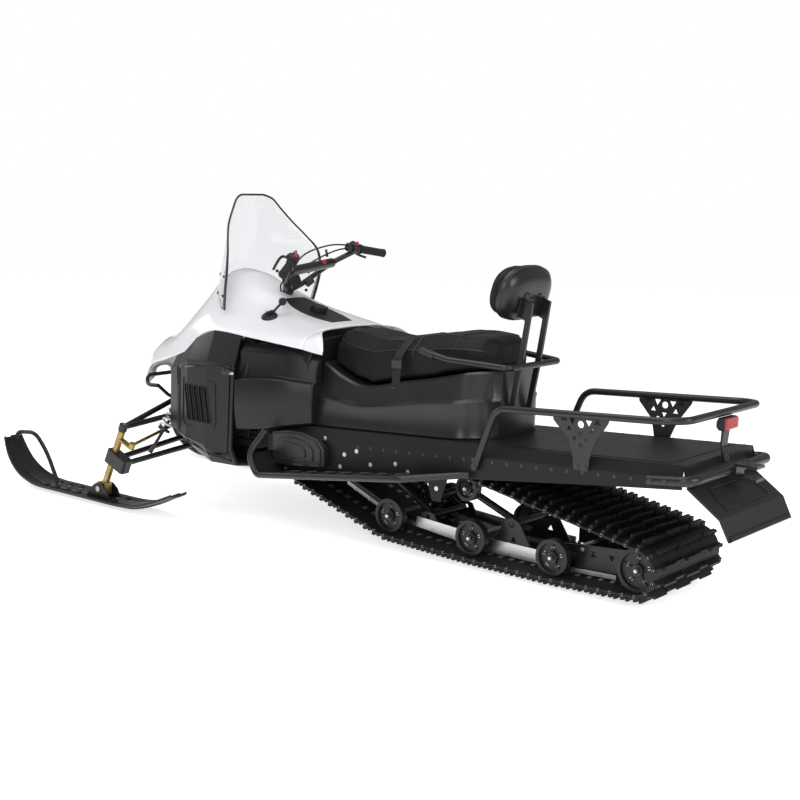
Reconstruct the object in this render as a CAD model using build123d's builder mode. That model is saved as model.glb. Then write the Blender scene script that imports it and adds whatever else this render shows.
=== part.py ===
"""Utility snowmobile with a wide track, two skis, a two-place seat and a cargo deck.

X points forward, Y to the machine's left and Z up. The floor is at zero, and lengths are in
millimetres. Places along the machine are given as the distance ahead of the deck's rear edge.
"""
from build123d import *
from math import atan2, cos, degrees, pi, radians, sin, tan
import os

os.makedirs("parts", exist_ok=True)

# Whole machine
overall_length = 3370
flap_reach = 170
rear_edge_x = flap_reach - overall_length / 2
chassis_pitch = 3.4
seat_gap = 0.3
panel_gap = 5
overrun = 20


def ahead(distance):
    """X of a place that lies this far ahead of the deck's rear edge."""
    return rear_edge_x + distance


def side_plane(y):
    """Upright plane along the machine, this far to its left, drawn in X and Z."""
    return Plane.XZ.offset(-y)


def bent_rod(points, radius, bend):
    """Round rod along straight runs joined by arcs."""
    with BuildPart() as bent:
        with BuildLine() as path:
            FilletPolyline(*points, radius=bend)
        with BuildSketch(Plane(origin=path.line @ 0, z_dir=path.line % 0)):
            Circle(radius)
        sweep(path=path.line)
    return bent.part


def rod_between(start, end, radius):
    """Straight round rod from one point to another."""
    line = Vector(*end) - Vector(*start)
    with BuildPart() as straight:
        with BuildSketch(Plane(origin=start, z_dir=line.normalized())):
            Circle(radius)
        extrude(amount=line.length)
    return straight.part


def swept_body(stations):
    """Body through outlines of Y and Z at places along X, with flat facets between them."""
    with BuildPart() as body:
        for x, outline in stations:
            with BuildSketch(Plane.YZ.offset(x)):
                with BuildLine():
                    Polyline(*outline, close=True)
                make_face()
        loft(ruled=True)
    return body.part


def both_sides(half):
    """Closed outline from its left half, which runs from the bottom to the top."""
    return [(y, z) for y, z in half] + [(-y, z) for y, z in reversed(half)]


# Tunnel: folded sheet under deck and seat, nose down by the pitch
deck_rear_height = 527
deck_half_width = 264
tunnel_half_width = 285
tunnel_facet_drop = 42
tunnel_wall = 4
tunnel_depth = 300
tunnel_length = 1840
tunnel_lower_edge_shares = ((0.0, 0.13), (0.17, 0.158), (0.54, 0.23), (0.82, 0.287), (1.0, 0.28))
tunnel_end_depth = 72
bulkhead_depth = 160
hanger_length = 150
hanger_reach = 20
deck_panel_front = 690
deck_panel_rear = 60
deck_panel_half_width = 240
deck_panel_rise = 1.5

arm_hanger = (985, 262)
pitch_sin = sin(radians(chassis_pitch))
pitch_cos = cos(radians(chassis_pitch))
tunnel_plane = Plane(
    origin=(ahead(0), 0, deck_rear_height), x_dir=(0, 1, 0), z_dir=(pitch_cos, 0, -pitch_sin)
)


def deck_height(distance):
    """Height of the deck's top over the floor at a place along the machine."""
    return deck_rear_height - distance * tan(radians(chassis_pitch))


def tunnel_outline(half_top, half_side, top, depth):
    """Points of the tunnel's folded section, as a block open to nothing."""
    return [
        (-half_side, -depth),
        (-half_side, -tunnel_facet_drop),
        (-half_top, -top),
        (half_top, -top),
        (half_side, -tunnel_facet_drop),
        (half_side, -depth),
    ]


tunnel_drops = [
    (ahead(share_x * tunnel_length), deck_height(share_x * tunnel_length) - share_z * 2 * tunnel_depth)
    for share_x, share_z in tunnel_lower_edge_shares
]
with BuildPart() as tunnel:
    with BuildSketch(tunnel_plane):
        with BuildLine():
            Polyline(*tunnel_outline(deck_half_width, tunnel_half_width, 0, tunnel_depth), close=True)
        make_face()
        with BuildLine():
            Polyline(
                *tunnel_outline(
                    deck_half_width - tunnel_wall,
                    tunnel_half_width - tunnel_wall,
                    tunnel_wall,
                    tunnel_depth + overrun,
                ),
                close=True,
            )
        make_face(mode=Mode.SUBTRACT)
    extrude(amount=tunnel_length)
    with BuildSketch(Plane.XZ):
        with BuildLine():
            Polyline(
                *tunnel_drops,
                (ahead(tunnel_length + overrun), tunnel_drops[-1][1]),
                (ahead(tunnel_length + overrun), -overrun),
                (ahead(-overrun), -overrun),
                (ahead(-overrun), tunnel_drops[0][1]),
                close=True,
            )
        make_face()
    extrude(amount=tunnel_half_width + overrun, both=True, mode=Mode.SUBTRACT)
    with BuildSketch(tunnel_plane):
        with Locations((0, -(tunnel_wall + tunnel_end_depth) / 2)):
            Rectangle(2 * (deck_half_width - tunnel_wall), tunnel_end_depth - tunnel_wall)
    extrude(amount=tunnel_wall)
    with BuildSketch(tunnel_plane.offset(tunnel_length)):
        with Locations((0, -(tunnel_facet_drop + bulkhead_depth) / 2)):
            Rectangle(2 * (tunnel_half_width - tunnel_wall), bulkhead_depth - tunnel_facet_drop)
        with Locations((0, -(tunnel_wall + tunnel_facet_drop) / 2)):
            Rectangle(2 * (deck_half_width - tunnel_wall), tunnel_facet_drop - tunnel_wall)
    extrude(amount=-tunnel_wall)
    with BuildSketch(tunnel_plane.offset(deck_panel_rear)):
        with Locations((0, (deck_panel_rise - tunnel_wall) / 2)):
            Rectangle(2 * deck_panel_half_width, deck_panel_rise + tunnel_wall)
    extrude(amount=deck_panel_front - deck_panel_rear)
    for sign in (1, -1):
        with BuildSketch(side_plane(sign * (tunnel_half_width - tunnel_wall / 2))):
            with BuildLine():
                Polyline(
                    (ahead(arm_hanger[0] - hanger_length / 2), deck_height(arm_hanger[0]) - tunnel_facet_drop),
                    (ahead(arm_hanger[0] + hanger_length / 2), deck_height(arm_hanger[0]) - tunnel_facet_drop),
                    (ahead(arm_hanger[0] + hanger_reach), arm_hanger[1] - hanger_reach),
                    (ahead(arm_hanger[0] - hanger_reach), arm_hanger[1] - hanger_reach),
                    close=True,
                )
            make_face()
        extrude(amount=tunnel_wall / 2, both=True)

# Track: one endless belt with full-width lugs, over the wheels listed here
track_half_width = 250
belt_thickness = 7
lug_height = 30
lug_thickness = 13
lug_count = 76
bogie_radius = 66
rear_idler_radius = 78
return_idler_radius = 48
drive_radius = 84
floor_to_belt = lug_height + belt_thickness + seat_gap
rear_idler = (178, floor_to_belt + rear_idler_radius + 10)
bogie_low = (521, floor_to_belt + bogie_radius)
bogie_mid = (876, floor_to_belt + bogie_radius + 5)
bogie_front = (1260, floor_to_belt + bogie_radius + 22)
return_idler = (902, 292)
drive_axle = (1690, 285)
track_wheels = (
    (rear_idler, rear_idler_radius),
    (bogie_low, bogie_radius),
    (bogie_mid, bogie_radius),
    (bogie_front, bogie_radius),
    (drive_axle, drive_radius),
    (return_idler, return_idler_radius),
)


def wheel_hull(extra):
    """Outline that a taut belt takes round the track's wheels, this far outside them."""
    with BuildSketch(Plane.XZ) as hull:
        for (distance, height), radius in track_wheels:
            with Locations((ahead(distance), height)):
                Circle(radius + extra)
        make_hull()
    return hull.sketch


belt_outer = wheel_hull(belt_thickness + seat_gap)
belt_inner = wheel_hull(seat_gap)
belt_loop = belt_outer.face().outer_wire()
loop_middle = belt_loop.center()
tread_points = []
for lug in range(lug_count):
    for edge, height in ((-1, 0), (-1, 1), (1, 1), (1, 0)):
        share = (lug + (1 + edge * lug_thickness * lug_count / belt_loop.length) / 2) / lug_count
        foot = belt_loop @ share
        middle = belt_loop % ((lug + 1 / 2) / lug_count)
        outward = Vector(middle.Z, 0, -middle.X)
        if outward.dot(foot - loop_middle) < 0:
            outward = -outward
        tip = foot + outward * (height * lug_height)
        tread_points.append((tip.X, tip.Z))
with BuildPart() as track:
    with BuildSketch(Plane.XZ):
        with BuildLine():
            Polyline(*tread_points, close=True)
        make_face()
        add(belt_inner, mode=Mode.SUBTRACT)
    extrude(amount=track_half_width, both=True)

# Wheels and axles of the rear suspension
wheel_width = 32
wheel_rim = 13
wheel_web = 8
hub_radius = 22
axle_radius = 10
axle_half_length = 222
axle_fit = 0.05
wheel_y = 196
idler_y = 150


def wheel(distance, height, radius, y):
    """Rimmed wheel with a thin web and a hub, bored for its axle."""
    with BuildPart() as turned:
        with BuildSketch(side_plane(y)):
            with Locations((ahead(distance), height)):
                Circle(radius)
                Circle(radius - wheel_rim, mode=Mode.SUBTRACT)
        extrude(amount=wheel_width / 2, both=True)
        with BuildSketch(side_plane(y)):
            with Locations((ahead(distance), height)):
                Circle(radius - wheel_rim / 2)
        extrude(amount=wheel_web / 2, both=True)
        with BuildSketch(side_plane(y)):
            with Locations((ahead(distance), height)):
                Circle(hub_radius)
        extrude(amount=wheel_width / 2, both=True)
        with BuildSketch(side_plane(y)):
            with Locations((ahead(distance), height)):
                Circle(axle_radius + axle_fit)
        extrude(amount=wheel_width, both=True, mode=Mode.SUBTRACT)
    return turned.part


bogie_places = (bogie_low, bogie_mid, bogie_front)
wheel_list = [
    wheel(distance, height, bogie_radius, sign * wheel_y)
    for distance, height in bogie_places
    for sign in (1, -1)
]
idler_list = [
    wheel(*rear_idler, rear_idler_radius, sign * y) for y in (wheel_y, idler_y / 3) for sign in (1, -1)
]
return_list = [wheel(*return_idler, return_idler_radius, sign * wheel_y) for sign in (1, -1)]
with BuildPart() as track_wheels:
    for item in (*wheel_list, *idler_list, *return_list):
        add(item)
with BuildPart() as suspension_axles:
    for distance, height in (*bogie_places, rear_idler, return_idler):
        with BuildSketch(side_plane(0)):
            with Locations((ahead(distance), height)):
                Circle(axle_radius)
        extrude(amount=axle_half_length, both=True)

# Drive axle with two toothed sprockets
sprocket_teeth = 9
sprocket_width = 40
sprocket_y = 90
tooth_size = 16
tooth_relief = 0.5
with BuildPart() as drive_sprockets:
    with BuildSketch(side_plane(0)):
        with Locations((ahead(drive_axle[0]), drive_axle[1])):
            Circle(axle_radius + wheel_web)
    extrude(amount=tunnel_half_width - tunnel_wall - seat_gap, both=True)
    for sign in (1, -1):
        with BuildSketch(side_plane(sign * sprocket_y)):
            with Locations((ahead(drive_axle[0]), drive_axle[1])):
                Circle(drive_radius - tooth_size)
                with PolarLocations(drive_radius - tooth_size / 2 - tooth_relief, sprocket_teeth):
                    Rectangle(tooth_size, tooth_size)
        extrude(amount=sprocket_width / 2, both=True)

# Slide rails: a level rear rail and a rising front rail each side
rail_y = 120
rail_width = 24
rail_height = 46
rail_front = (1540, 196)
rail_bend = (1300, 92)
rail_lift = 3
pivot_place = (745, 168)
pivot_length = 62
arm_radius_room = 20
rail_heel = 300
with BuildPart() as slide_rails:
    with BuildSketch(side_plane(rail_y)):
        with BuildLine():
            Polyline(
                (ahead(rear_idler[0] - hub_radius), rear_idler[1] + hub_radius),
                (ahead(rear_idler[0] - hub_radius), rear_idler[1] - hub_radius),
                (ahead(rail_heel), floor_to_belt + 3 * rail_lift),
                (ahead(bogie_low[0]), floor_to_belt + rail_lift),
                (ahead(bogie_mid[0]), floor_to_belt + 3 * rail_lift),
                (ahead(rail_bend[0]), rail_bend[1]),
                (ahead(rail_front[0]), rail_front[1]),
                (ahead(rail_front[0] - rail_width), rail_front[1] + rail_width),
                (ahead(rail_bend[0] - rail_width), rail_bend[1] + rail_height + rail_width),
                (ahead(bogie_mid[0]), bogie_mid[1] + hub_radius),
                close=True,
            )
        make_face()
        with BuildLine():
            Polyline(
                (ahead(pivot_place[0] - pivot_length), rear_idler[1]),
                (ahead(pivot_place[0] - arm_radius_room), pivot_place[1] + arm_radius_room),
                (ahead(pivot_place[0] + arm_radius_room), pivot_place[1] + arm_radius_room),
                (ahead(pivot_place[0] + pivot_length), rear_idler[1]),
                close=True,
            )
        make_face()
    extrude(amount=rail_width / 2, both=True)
    with BuildSketch(side_plane(rail_y)):
        for distance, height in (*bogie_places, rear_idler):
            with Locations((ahead(distance), height)):
                Circle(axle_radius + axle_fit)
    extrude(amount=rail_width, both=True, mode=Mode.SUBTRACT)
    mirror(about=Plane.XZ)

# Arms between the rails and the tunnel, and the two dampers of the rear suspension
arm_radius = 14
arm_cross_half = tunnel_half_width - tunnel_wall - seat_gap
front_arm_top = (1430, 300)
front_arm_foot = (1130, 130)
rear_arm_top = arm_hanger
rear_arm_foot = pivot_place
arm_y = 85
damper_radius = 19
spring_radius = 32
damper_rod_radius = 7


def arm_pair(top, foot):
    """Cross tube under the tunnel with two legs down to a cross tube between the rails."""
    cross_top = rod_between(
        (ahead(top[0]), -arm_cross_half, top[1]), (ahead(top[0]), arm_cross_half, top[1]), arm_radius
    )
    cross_foot = rod_between(
        (ahead(foot[0]), -(rail_y - rail_width / 2 - seat_gap), foot[1]),
        (ahead(foot[0]), rail_y - rail_width / 2 - seat_gap, foot[1]),
        arm_radius,
    )
    legs = [
        rod_between(
            (ahead(top[0]), sign * arm_y, top[1]), (ahead(foot[0]), sign * arm_y, foot[1]), arm_radius
        )
        for sign in (1, -1)
    ]
    return [cross_top, cross_foot, *legs]


front_arm_rods = arm_pair(front_arm_top, front_arm_foot)
rear_arm_rods = arm_pair(rear_arm_top, rear_arm_foot)
with BuildPart() as skid_arms:
    for rod in (*front_arm_rods, *rear_arm_rods):
        add(rod)


def damper(top, foot, rod_share, coils):
    """Damper with a grooved sleeve for its coil spring, along the line from top to foot."""
    line = Vector(*foot) - Vector(*top)
    length = line.length
    sleeve = length * (1 - rod_share)
    ring = sleeve / (2 * coils)
    with BuildPart() as body:
        with BuildSketch(Plane(origin=top, z_dir=line.normalized())):
            Circle(damper_rod_radius)
        extrude(amount=length)
        for turn in range(coils):
            start = Vector(*top) + line.normalized() * (2 * turn * ring + ring)
            with BuildSketch(Plane(origin=start, z_dir=line.normalized())):
                Circle(spring_radius)
            extrude(amount=ring)
        with BuildSketch(Plane(origin=top, z_dir=line.normalized())):
            Circle(damper_radius)
        extrude(amount=sleeve)
    return body.part


# Running boards: open treads inside an outer tube that loops up at the toe
board_toe = (1745, 243)
board_rise = 7.8
board_outer_y = 442
board_tube_radius = 13
board_thickness = 4
board_heel = 860
board_heel_y = 315
board_turn = 1040
toe_top = (1735, 418)
toe_front = (1792, 318)
toe_bend = 60
toe_root = board_toe[0] - 3 * board_thickness
slot_length = 62
slot_width = 26
slot_pitch = 88
slot_count = 7
slot_rows = 3
slot_row_pitch = 42


def board_height(distance):
    """Height of the running board at a place along the machine."""
    return board_toe[1] + (board_toe[0] - distance) * tan(radians(board_rise))


board_inner_y = tunnel_half_width + seat_gap
board_plane = Plane(
    origin=(ahead(board_toe[0]), 0, board_toe[1]),
    x_dir=(cos(radians(board_rise)), 0, -sin(radians(board_rise))),
    z_dir=(sin(radians(board_rise)), 0, cos(radians(board_rise))),
)
board_tube = bent_rod(
    (
        (ahead(toe_top[0]), board_outer_y - 3 * board_tube_radius, toe_top[1]),
        (ahead(toe_front[0]), board_outer_y, toe_front[1]),
        (ahead(board_toe[0]), board_outer_y, board_height(board_toe[0])),
        (ahead(board_turn), board_outer_y, board_height(board_turn)),
        (ahead(board_heel), board_heel_y, board_height(board_heel)),
        (ahead(board_heel) - 2 * board_tube_radius, board_inner_y + board_tube_radius, board_height(board_heel)),
    ),
    board_tube_radius,
    (toe_bend, toe_bend / 2, toe_bend, toe_bend / 4),
)
with BuildPart() as running_board_left:
    with BuildSketch(board_plane):
        with BuildLine():
            Polyline(
                (0, board_inner_y),
                (0, board_outer_y),
                (board_turn - board_toe[0], board_outer_y),
                (board_heel - board_toe[0], board_heel_y),
                (board_heel - board_toe[0], board_inner_y),
                close=True,
            )
        make_face()
        with Locations(((board_turn - board_toe[0]) / 2, (board_inner_y + board_outer_y) / 2)):
            with GridLocations(slot_pitch, slot_row_pitch, slot_count, slot_rows):
                Rectangle(slot_length, slot_width, mode=Mode.SUBTRACT)
    extrude(amount=-board_thickness)
    with BuildSketch(side_plane(board_inner_y)):
        with BuildLine():
            Polyline(
                (ahead(toe_root), board_height(toe_root) - board_thickness / 4),
                (ahead(toe_front[0]), toe_front[1]),
                (ahead(toe_front[0]), toe_front[1] - board_thickness),
                (ahead(toe_root), board_height(toe_root) - board_thickness * 3 / 4),
                close=True,
            )
        make_face()
    extrude(amount=-(board_outer_y - board_inner_y))
    add(board_tube)
with BuildPart() as running_board_right:
    mirror(running_board_left.part, about=Plane.XZ)

# Body panels: facets through stations; shares of body length, half width and height
body_rear = 1640
body_length = 1100
body_half_width = 400
body_height = 1000
panel_thickness = 9
hood_shares = (
    (0.000, (0.76, 0.738), (0.73, 0.772), (0.46, 0.806), (0.20, 0.812)),
    (0.130, (0.82, 0.753), (0.77, 0.783), (0.44, 0.832), (0.20, 0.840)),
    (0.235, (0.84, 0.763), (0.78, 0.793), (0.45, 0.850), (0.20, 0.872)),
    (0.410, (0.84, 0.773), (0.76, 0.803), (0.48, 0.876), (0.20, 0.945)),
    (0.515, (0.81, 0.730), (0.72, 0.810), (0.45, 0.900), (0.18, 0.985)),
    (0.595, (0.77, 0.660), (0.70, 0.770), (0.42, 0.880), (0.16, 0.965)),
    (0.730, (0.69, 0.610), (0.62, 0.680), (0.36, 0.745), (0.14, 0.760)),
    (0.875, (0.54, 0.560), (0.47, 0.625), (0.27, 0.665), (0.11, 0.685)),
    (1.000, (0.27, 0.455), (0.23, 0.525), (0.14, 0.550), (0.06, 0.556)),
)
cowl_shares = (
    (0.275, (0.40, 0.205), (0.88, 0.235), (0.96, 0.300), (0.94, 0.640)),
    (0.410, (0.40, 0.200), (0.86, 0.228), (0.98, 0.305), (0.95, 0.650)),
    (0.515, (0.38, 0.215), (0.74, 0.240), (0.95, 0.320), (0.94, 0.645)),
    (0.595, (0.36, 0.236), (0.66, 0.260), (0.88, 0.335), (0.87, 0.605)),
    (0.648, (0.34, 0.250), (0.60, 0.275), (0.82, 0.345), (0.82, 0.580)),
)


def body_point(share_y, share_z):
    """Point of a body outline from its shares."""
    return (share_y * body_half_width, share_z * body_height)


def hood_edge(share_x):
    """Lowest point of the hood's left side at a share of the body's length, as shares."""
    for rear_row, front_row in zip(hood_shares, hood_shares[1:]):
        if rear_row[0] <= share_x <= front_row[0]:
            run = (share_x - rear_row[0]) / (front_row[0] - rear_row[0])
            low_y = rear_row[1][0] + run * (front_row[1][0] - rear_row[1][0])
            low_z = rear_row[1][1] + run * (front_row[1][1] - rear_row[1][1])
            return (low_y, low_z - seat_gap / body_height)
    return hood_shares[-1][1]


def shell(rows):
    """Thin skin over the top of the machine, open below, through the rows' outlines."""
    stations = []
    for share_x, *places in rows:
        outer = [body_point(*place) for place in places]
        inner = [(y - panel_thickness, z - panel_thickness) for y, z in outer]
        inner[0] = (outer[0][0] - panel_thickness, outer[0][1])
        half = outer + [(-y, z) for y, z in reversed(outer)]
        back = [(-y, z) for y, z in inner] + list(reversed(inner))
        stations.append((ahead(body_rear + share_x * body_length), half + back))
    return swept_body(stations)


def tub(rows):
    """Thin skin under and beside the machine, open above, through the rows' outlines."""
    stations = []
    for share_x, *places in rows:
        outer = [body_point(*place) for place in (*places, hood_edge(share_x))]
        inner = [(y - panel_thickness, z + panel_thickness) for y, z in outer]
        inner[-1] = (outer[-1][0] - panel_thickness, outer[-1][1])
        half = list(reversed([(-y, z) for y, z in outer])) + outer
        back = list(reversed(inner)) + [(-y, z) for y, z in inner]
        stations.append((ahead(body_rear + share_x * body_length), half + back))
    return swept_body(stations)


def filled(rows):
    """Solid block inside the rows' outlines, for cutting what meets the skin."""
    stations = []
    for share_x, *places in rows:
        outer = [body_point(*place) for place in places]
        half = outer + [(-y, z) for y, z in reversed(outer)]
        stations.append((ahead(body_rear + share_x * body_length), half))
    return swept_body(stations)


hood_skin = shell(hood_shares)
hood_block = filled(hood_shares)
cowl_skin = tub(cowl_shares)
nose_outline = [body_point(*place) for place in hood_shares[-1][1:]]
with BuildPart() as hood:
    add(hood_skin)
    with BuildSketch(Plane.YZ.offset(ahead(body_rear + body_length))):
        with BuildLine():
            Polyline(*nose_outline, *[(-y, z) for y, z in reversed(nose_outline)], close=True)
        make_face()
    extrude(amount=panel_thickness)

# Side access doors with slanted louvres, hinged at their front edge
door_outline_shares = (
    (0.293, 0.645), (0.590, 0.600), (0.572, 0.345), (0.520, 0.285), (0.293, 0.255),
)
louvre_count = 5
louvre_length = 150
louvre_width = 16
louvre_pitch = 30
louvre_place_share = (0.455, 0.47)
louvre_lean = -12
door_points = [
    (ahead(body_rear + x * body_length), z * body_height) for x, z in door_outline_shares
]
with BuildPart() as door_cutter:
    with BuildSketch(side_plane(body_half_width / 2)):
        with BuildLine():
            Polyline(*door_points, close=True)
        make_face()
    extrude(amount=-body_half_width)
with BuildPart() as door_opening:
    with BuildSketch(side_plane(body_half_width / 2)):
        with BuildLine():
            Polyline(*door_points, close=True)
        make_face()
        offset(amount=panel_gap)
    extrude(amount=-body_half_width)
hinge_pin_radius = 3
knuckle_radius = 6
knuckle_length = 24
knuckle_gap = 0.5
hinge_share = 0.15
corner_cut = 12
corner_turn = 45
hinge_top_edge = (0.590, 0.600, 0.870)
hinge_low_edge = (0.572, 0.345, 0.885)
hinge_top = Vector(
    ahead(body_rear + hinge_top_edge[0] * body_length) + panel_gap / 2,
    hinge_top_edge[2] * body_half_width,
    hinge_top_edge[1] * body_height,
)
hinge_low = Vector(
    ahead(body_rear + hinge_low_edge[0] * body_length) + panel_gap / 2,
    hinge_low_edge[2] * body_half_width,
    hinge_low_edge[1] * body_height,
)
hinge_run = hinge_low - hinge_top
hinge_direction = hinge_run.normalized()


def hinge_rod(centre_share, offset_lengths, length, radius):
    """Rod on the left door's hinge line, offset in knuckle lengths from a share of the line."""
    middle = hinge_top + hinge_run * centre_share + hinge_direction * (offset_lengths * knuckle_length)
    reach = hinge_direction * (length / 2)
    return rod_between(tuple(middle - reach), tuple(middle + reach), radius)


hinge_centres = (hinge_share, 1 - hinge_share)
clear_radius = knuckle_radius + 2 * knuckle_gap
clear_length = knuckle_length + 2 * knuckle_gap
door_knuckles = [hinge_rod(share, 0, knuckle_length, knuckle_radius) for share in hinge_centres]
door_clear = [hinge_rod(share, 0, clear_length, clear_radius) for share in hinge_centres]
cowl_knuckles = [
    hinge_rod(share, offset_lengths, knuckle_length - 2 * knuckle_gap, knuckle_radius)
    for share in hinge_centres
    for offset_lengths in (1, -1)
]
cowl_clear = [
    hinge_rod(share, offset_lengths, clear_length, clear_radius)
    for share in hinge_centres
    for offset_lengths in (1, -1)
]
hinge_pins = [hinge_rod(share, 0, 3 * knuckle_length, hinge_pin_radius) for share in hinge_centres]
hinge_bores = [
    hinge_rod(share, 0, 2 * knuckle_length, hinge_pin_radius + axle_fit) for share in hinge_centres
]
with BuildPart() as access_door_left:
    add(cowl_skin)
    add(door_cutter.part, mode=Mode.INTERSECT)
    with BuildSketch(side_plane(body_half_width / 2)):
        with Locations((
            ahead(body_rear + louvre_place_share[0] * body_length),
            louvre_place_share[1] * body_height,
        )):
            with GridLocations(louvre_pitch, louvre_pitch, louvre_count, 1):
                Rectangle(louvre_width, louvre_length, rotation=louvre_lean)
    extrude(amount=-body_half_width, mode=Mode.SUBTRACT)
    with BuildSketch(side_plane(body_half_width / 2)):
        with Locations((hinge_low.X, hinge_low.Z)):
            Rectangle(corner_cut, corner_cut, rotation=corner_turn)
    extrude(amount=-body_half_width, mode=Mode.SUBTRACT)
    for rod in cowl_clear:
        add(rod, mode=Mode.SUBTRACT)
    for rod in door_knuckles:
        add(rod)
    for rod in hinge_bores:
        add(rod, mode=Mode.SUBTRACT)
with BuildPart() as access_door_right:
    mirror(access_door_left.part, about=Plane.XZ)
with BuildPart() as cowl_hinges:
    for rod in (*cowl_knuckles, *hinge_pins):
        add(rod)
with BuildPart() as cowl_hinge_room:
    for rod in door_clear:
        add(rod)
with BuildPart() as lower_cowl:
    add(cowl_skin)
    add(door_opening.part, mode=Mode.SUBTRACT)
    mirror(door_opening.part, about=Plane.XZ, mode=Mode.SUBTRACT)
    add(cowl_hinge_room.part, mode=Mode.SUBTRACT)
    mirror(cowl_hinge_room.part, about=Plane.XZ, mode=Mode.SUBTRACT)
    add(cowl_hinges.part)
    mirror(cowl_hinges.part, about=Plane.XZ)

# Engine: one plain block behind the doors
engine_length = 380
engine_width = 440
engine_height = 300
engine_place = (2130, 440)
with BuildPart() as engine_block:
    with Locations((ahead(engine_place[0]), 0, engine_place[1])):
        Box(engine_length, engine_width, engine_height)

# Knee pods between the doors and the seat base
pod_outline_shares = (
    (-0.02, 0.435), (0.245, 0.385), (0.2747, 0.640), (0.2747, 0.735), (0.080, 0.728), (-0.02, 0.690),
)
pod_inner_y = 292
pod_outer_y = 372
with BuildPart() as side_pod_left:
    with BuildSketch(side_plane(pod_inner_y)):
        with BuildLine():
            Polyline(
                *[(ahead(body_rear + x * body_length), z * body_height) for x, z in pod_outline_shares],
                close=True,
            )
        make_face()
    extrude(amount=-(pod_outer_y - pod_inner_y))
with BuildPart() as side_pod_right:
    mirror(side_pod_left.part, about=Plane.XZ)

# Seat base: moulded fairing on the deck; shares of its length, half width and height
base_rear = 830
base_length = 806
base_half_width = 240
base_height = 270
base_shares = (
    (0.000, 0.50, 0.52, 0.52, 0.46, 0.93),
    (0.085, 0.84, 0.85, 0.52, 0.75, 0.93),
    (0.160, 0.98, 0.99, 0.50, 0.86, 0.90),
    (0.340, 1.00, 1.00, 0.50, 0.84, 0.80),
    (0.495, 1.00, 0.99, 0.45, 0.84, 0.735),
    (0.705, 1.00, 0.98, 0.42, 0.84, 0.63),
    (1.000, 1.00, 0.98, 0.45, 0.72, 0.93),
)
with BuildPart() as seat_base:
    for share_x, low_y, crease_y, crease_z, top_y, top_z in base_shares:
        distance = base_rear + share_x * base_length
        floor = deck_height(distance) + seat_gap
        with BuildSketch(Plane.YZ.offset(ahead(distance))):
            with BuildLine():
                Polyline(
                    *both_sides((
                        (low_y * base_half_width, floor),
                        (crease_y * base_half_width, floor + crease_z * base_height),
                        (top_y * base_half_width, floor + top_z * base_height),
                    )),
                    close=True,
                )
            make_face()
    loft(ruled=True)

# Seat cushion: two places; shares of its length, half width and height over the base
cushion_half_width = 190
cushion_height = 200
cushion_shares = (
    (0.52, 0.50, 0.30, 0.40, 0.50),
    (0.86, 0.84, 0.34, 0.64, 0.59),
    (0.94, 0.94, 0.38, 0.72, 0.64),
    (0.96, 1.00, 0.52, 0.76, 0.84),
    (0.96, 1.00, 0.60, 0.74, 0.84),
    (0.96, 0.94, 0.66, 0.62, 0.92),
    (0.80, 0.72, 0.34, 0.50, 0.66),
)
with BuildPart() as seat_cushion:
    for base_row, (low_y, crease_y, crease_z, top_y, top_z) in zip(base_shares, cushion_shares):
        distance = base_rear + base_row[0] * base_length
        floor = deck_height(distance) + base_row[-1] * base_height + 2 * seat_gap
        with BuildSketch(Plane.YZ.offset(ahead(distance))):
            with BuildLine():
                Polyline(
                    *both_sides((
                        (low_y * cushion_half_width, floor),
                        (crease_y * cushion_half_width, floor + crease_z * cushion_height),
                        (top_y * cushion_half_width, floor + top_z * cushion_height),
                    )),
                    close=True,
                )
            make_face()
    loft(ruled=True)

# Windshield: curved sheet; shares of its half width, depth and height from its base
shield_low = 850
shield_height = 466
shield_half_width = 290
shield_thickness = 4
shield_rear = 2068
shield_depth = 275
shield_shares = (
    (0.00, 0.94, 0.12, 1.00),
    (0.33, 1.00, 0.02, 0.86),
    (0.50, 0.96, 0.05, 0.78),
    (0.75, 0.66, 0.35, 0.68),
    (1.00, 0.31, 0.52, 0.57),
)
with BuildPart() as windshield:
    for share_z, half_share, edge_share, centre_share in shield_shares:
        edge_x = ahead(shield_rear + edge_share * shield_depth)
        centre_x = ahead(shield_rear + centre_share * shield_depth)
        half = half_share * shield_half_width
        with BuildSketch(Plane.XY.offset(shield_low + share_z * shield_height)):
            with BuildLine():
                ThreePointArc((edge_x, -half), (centre_x, 0), (edge_x, half))
                Line((edge_x, half), (edge_x - shield_thickness, half - shield_thickness))
                ThreePointArc(
                    (edge_x - shield_thickness, half - shield_thickness),
                    (centre_x - shield_thickness, 0),
                    (edge_x - shield_thickness, shield_thickness - half),
                )
                Line((edge_x - shield_thickness, shield_thickness - half), (edge_x, -half))
            make_face()
    loft(ruled=True)
    add(hood_block, mode=Mode.SUBTRACT)

# Handlebar: tilted steering stem, turned a little to the left as it is parked
stem_place = (2018, 880)
stem_tilt = 33
bars_turn = 8
bar_radius = 11
grip_radius = 17
grip_length = 125
grip_half_span = 372
grip_height = 290
grip_back = 70
grip_sweep = 54
bar_shoulder_y = 150
bar_shoulder_height = 205
bar_foot_height = 70
bar_bend = 45
pad_radius = 20
stem_radius = 16
stem_length = 300
bars_location = (
    Location((ahead(stem_place[0]), 0, stem_place[1]))
    * Location((0, 0, 0), (0, -stem_tilt, 0))
    * Location((0, 0, 0), (0, 0, bars_turn))
)
bars_plane = Plane(bars_location)


def bars(forward, left, up):
    """Place of a point given along the turned and tilted bars."""
    point = bars_plane.from_local_coords((forward, left, up))
    return (point.X, point.Y, point.Z)


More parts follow.
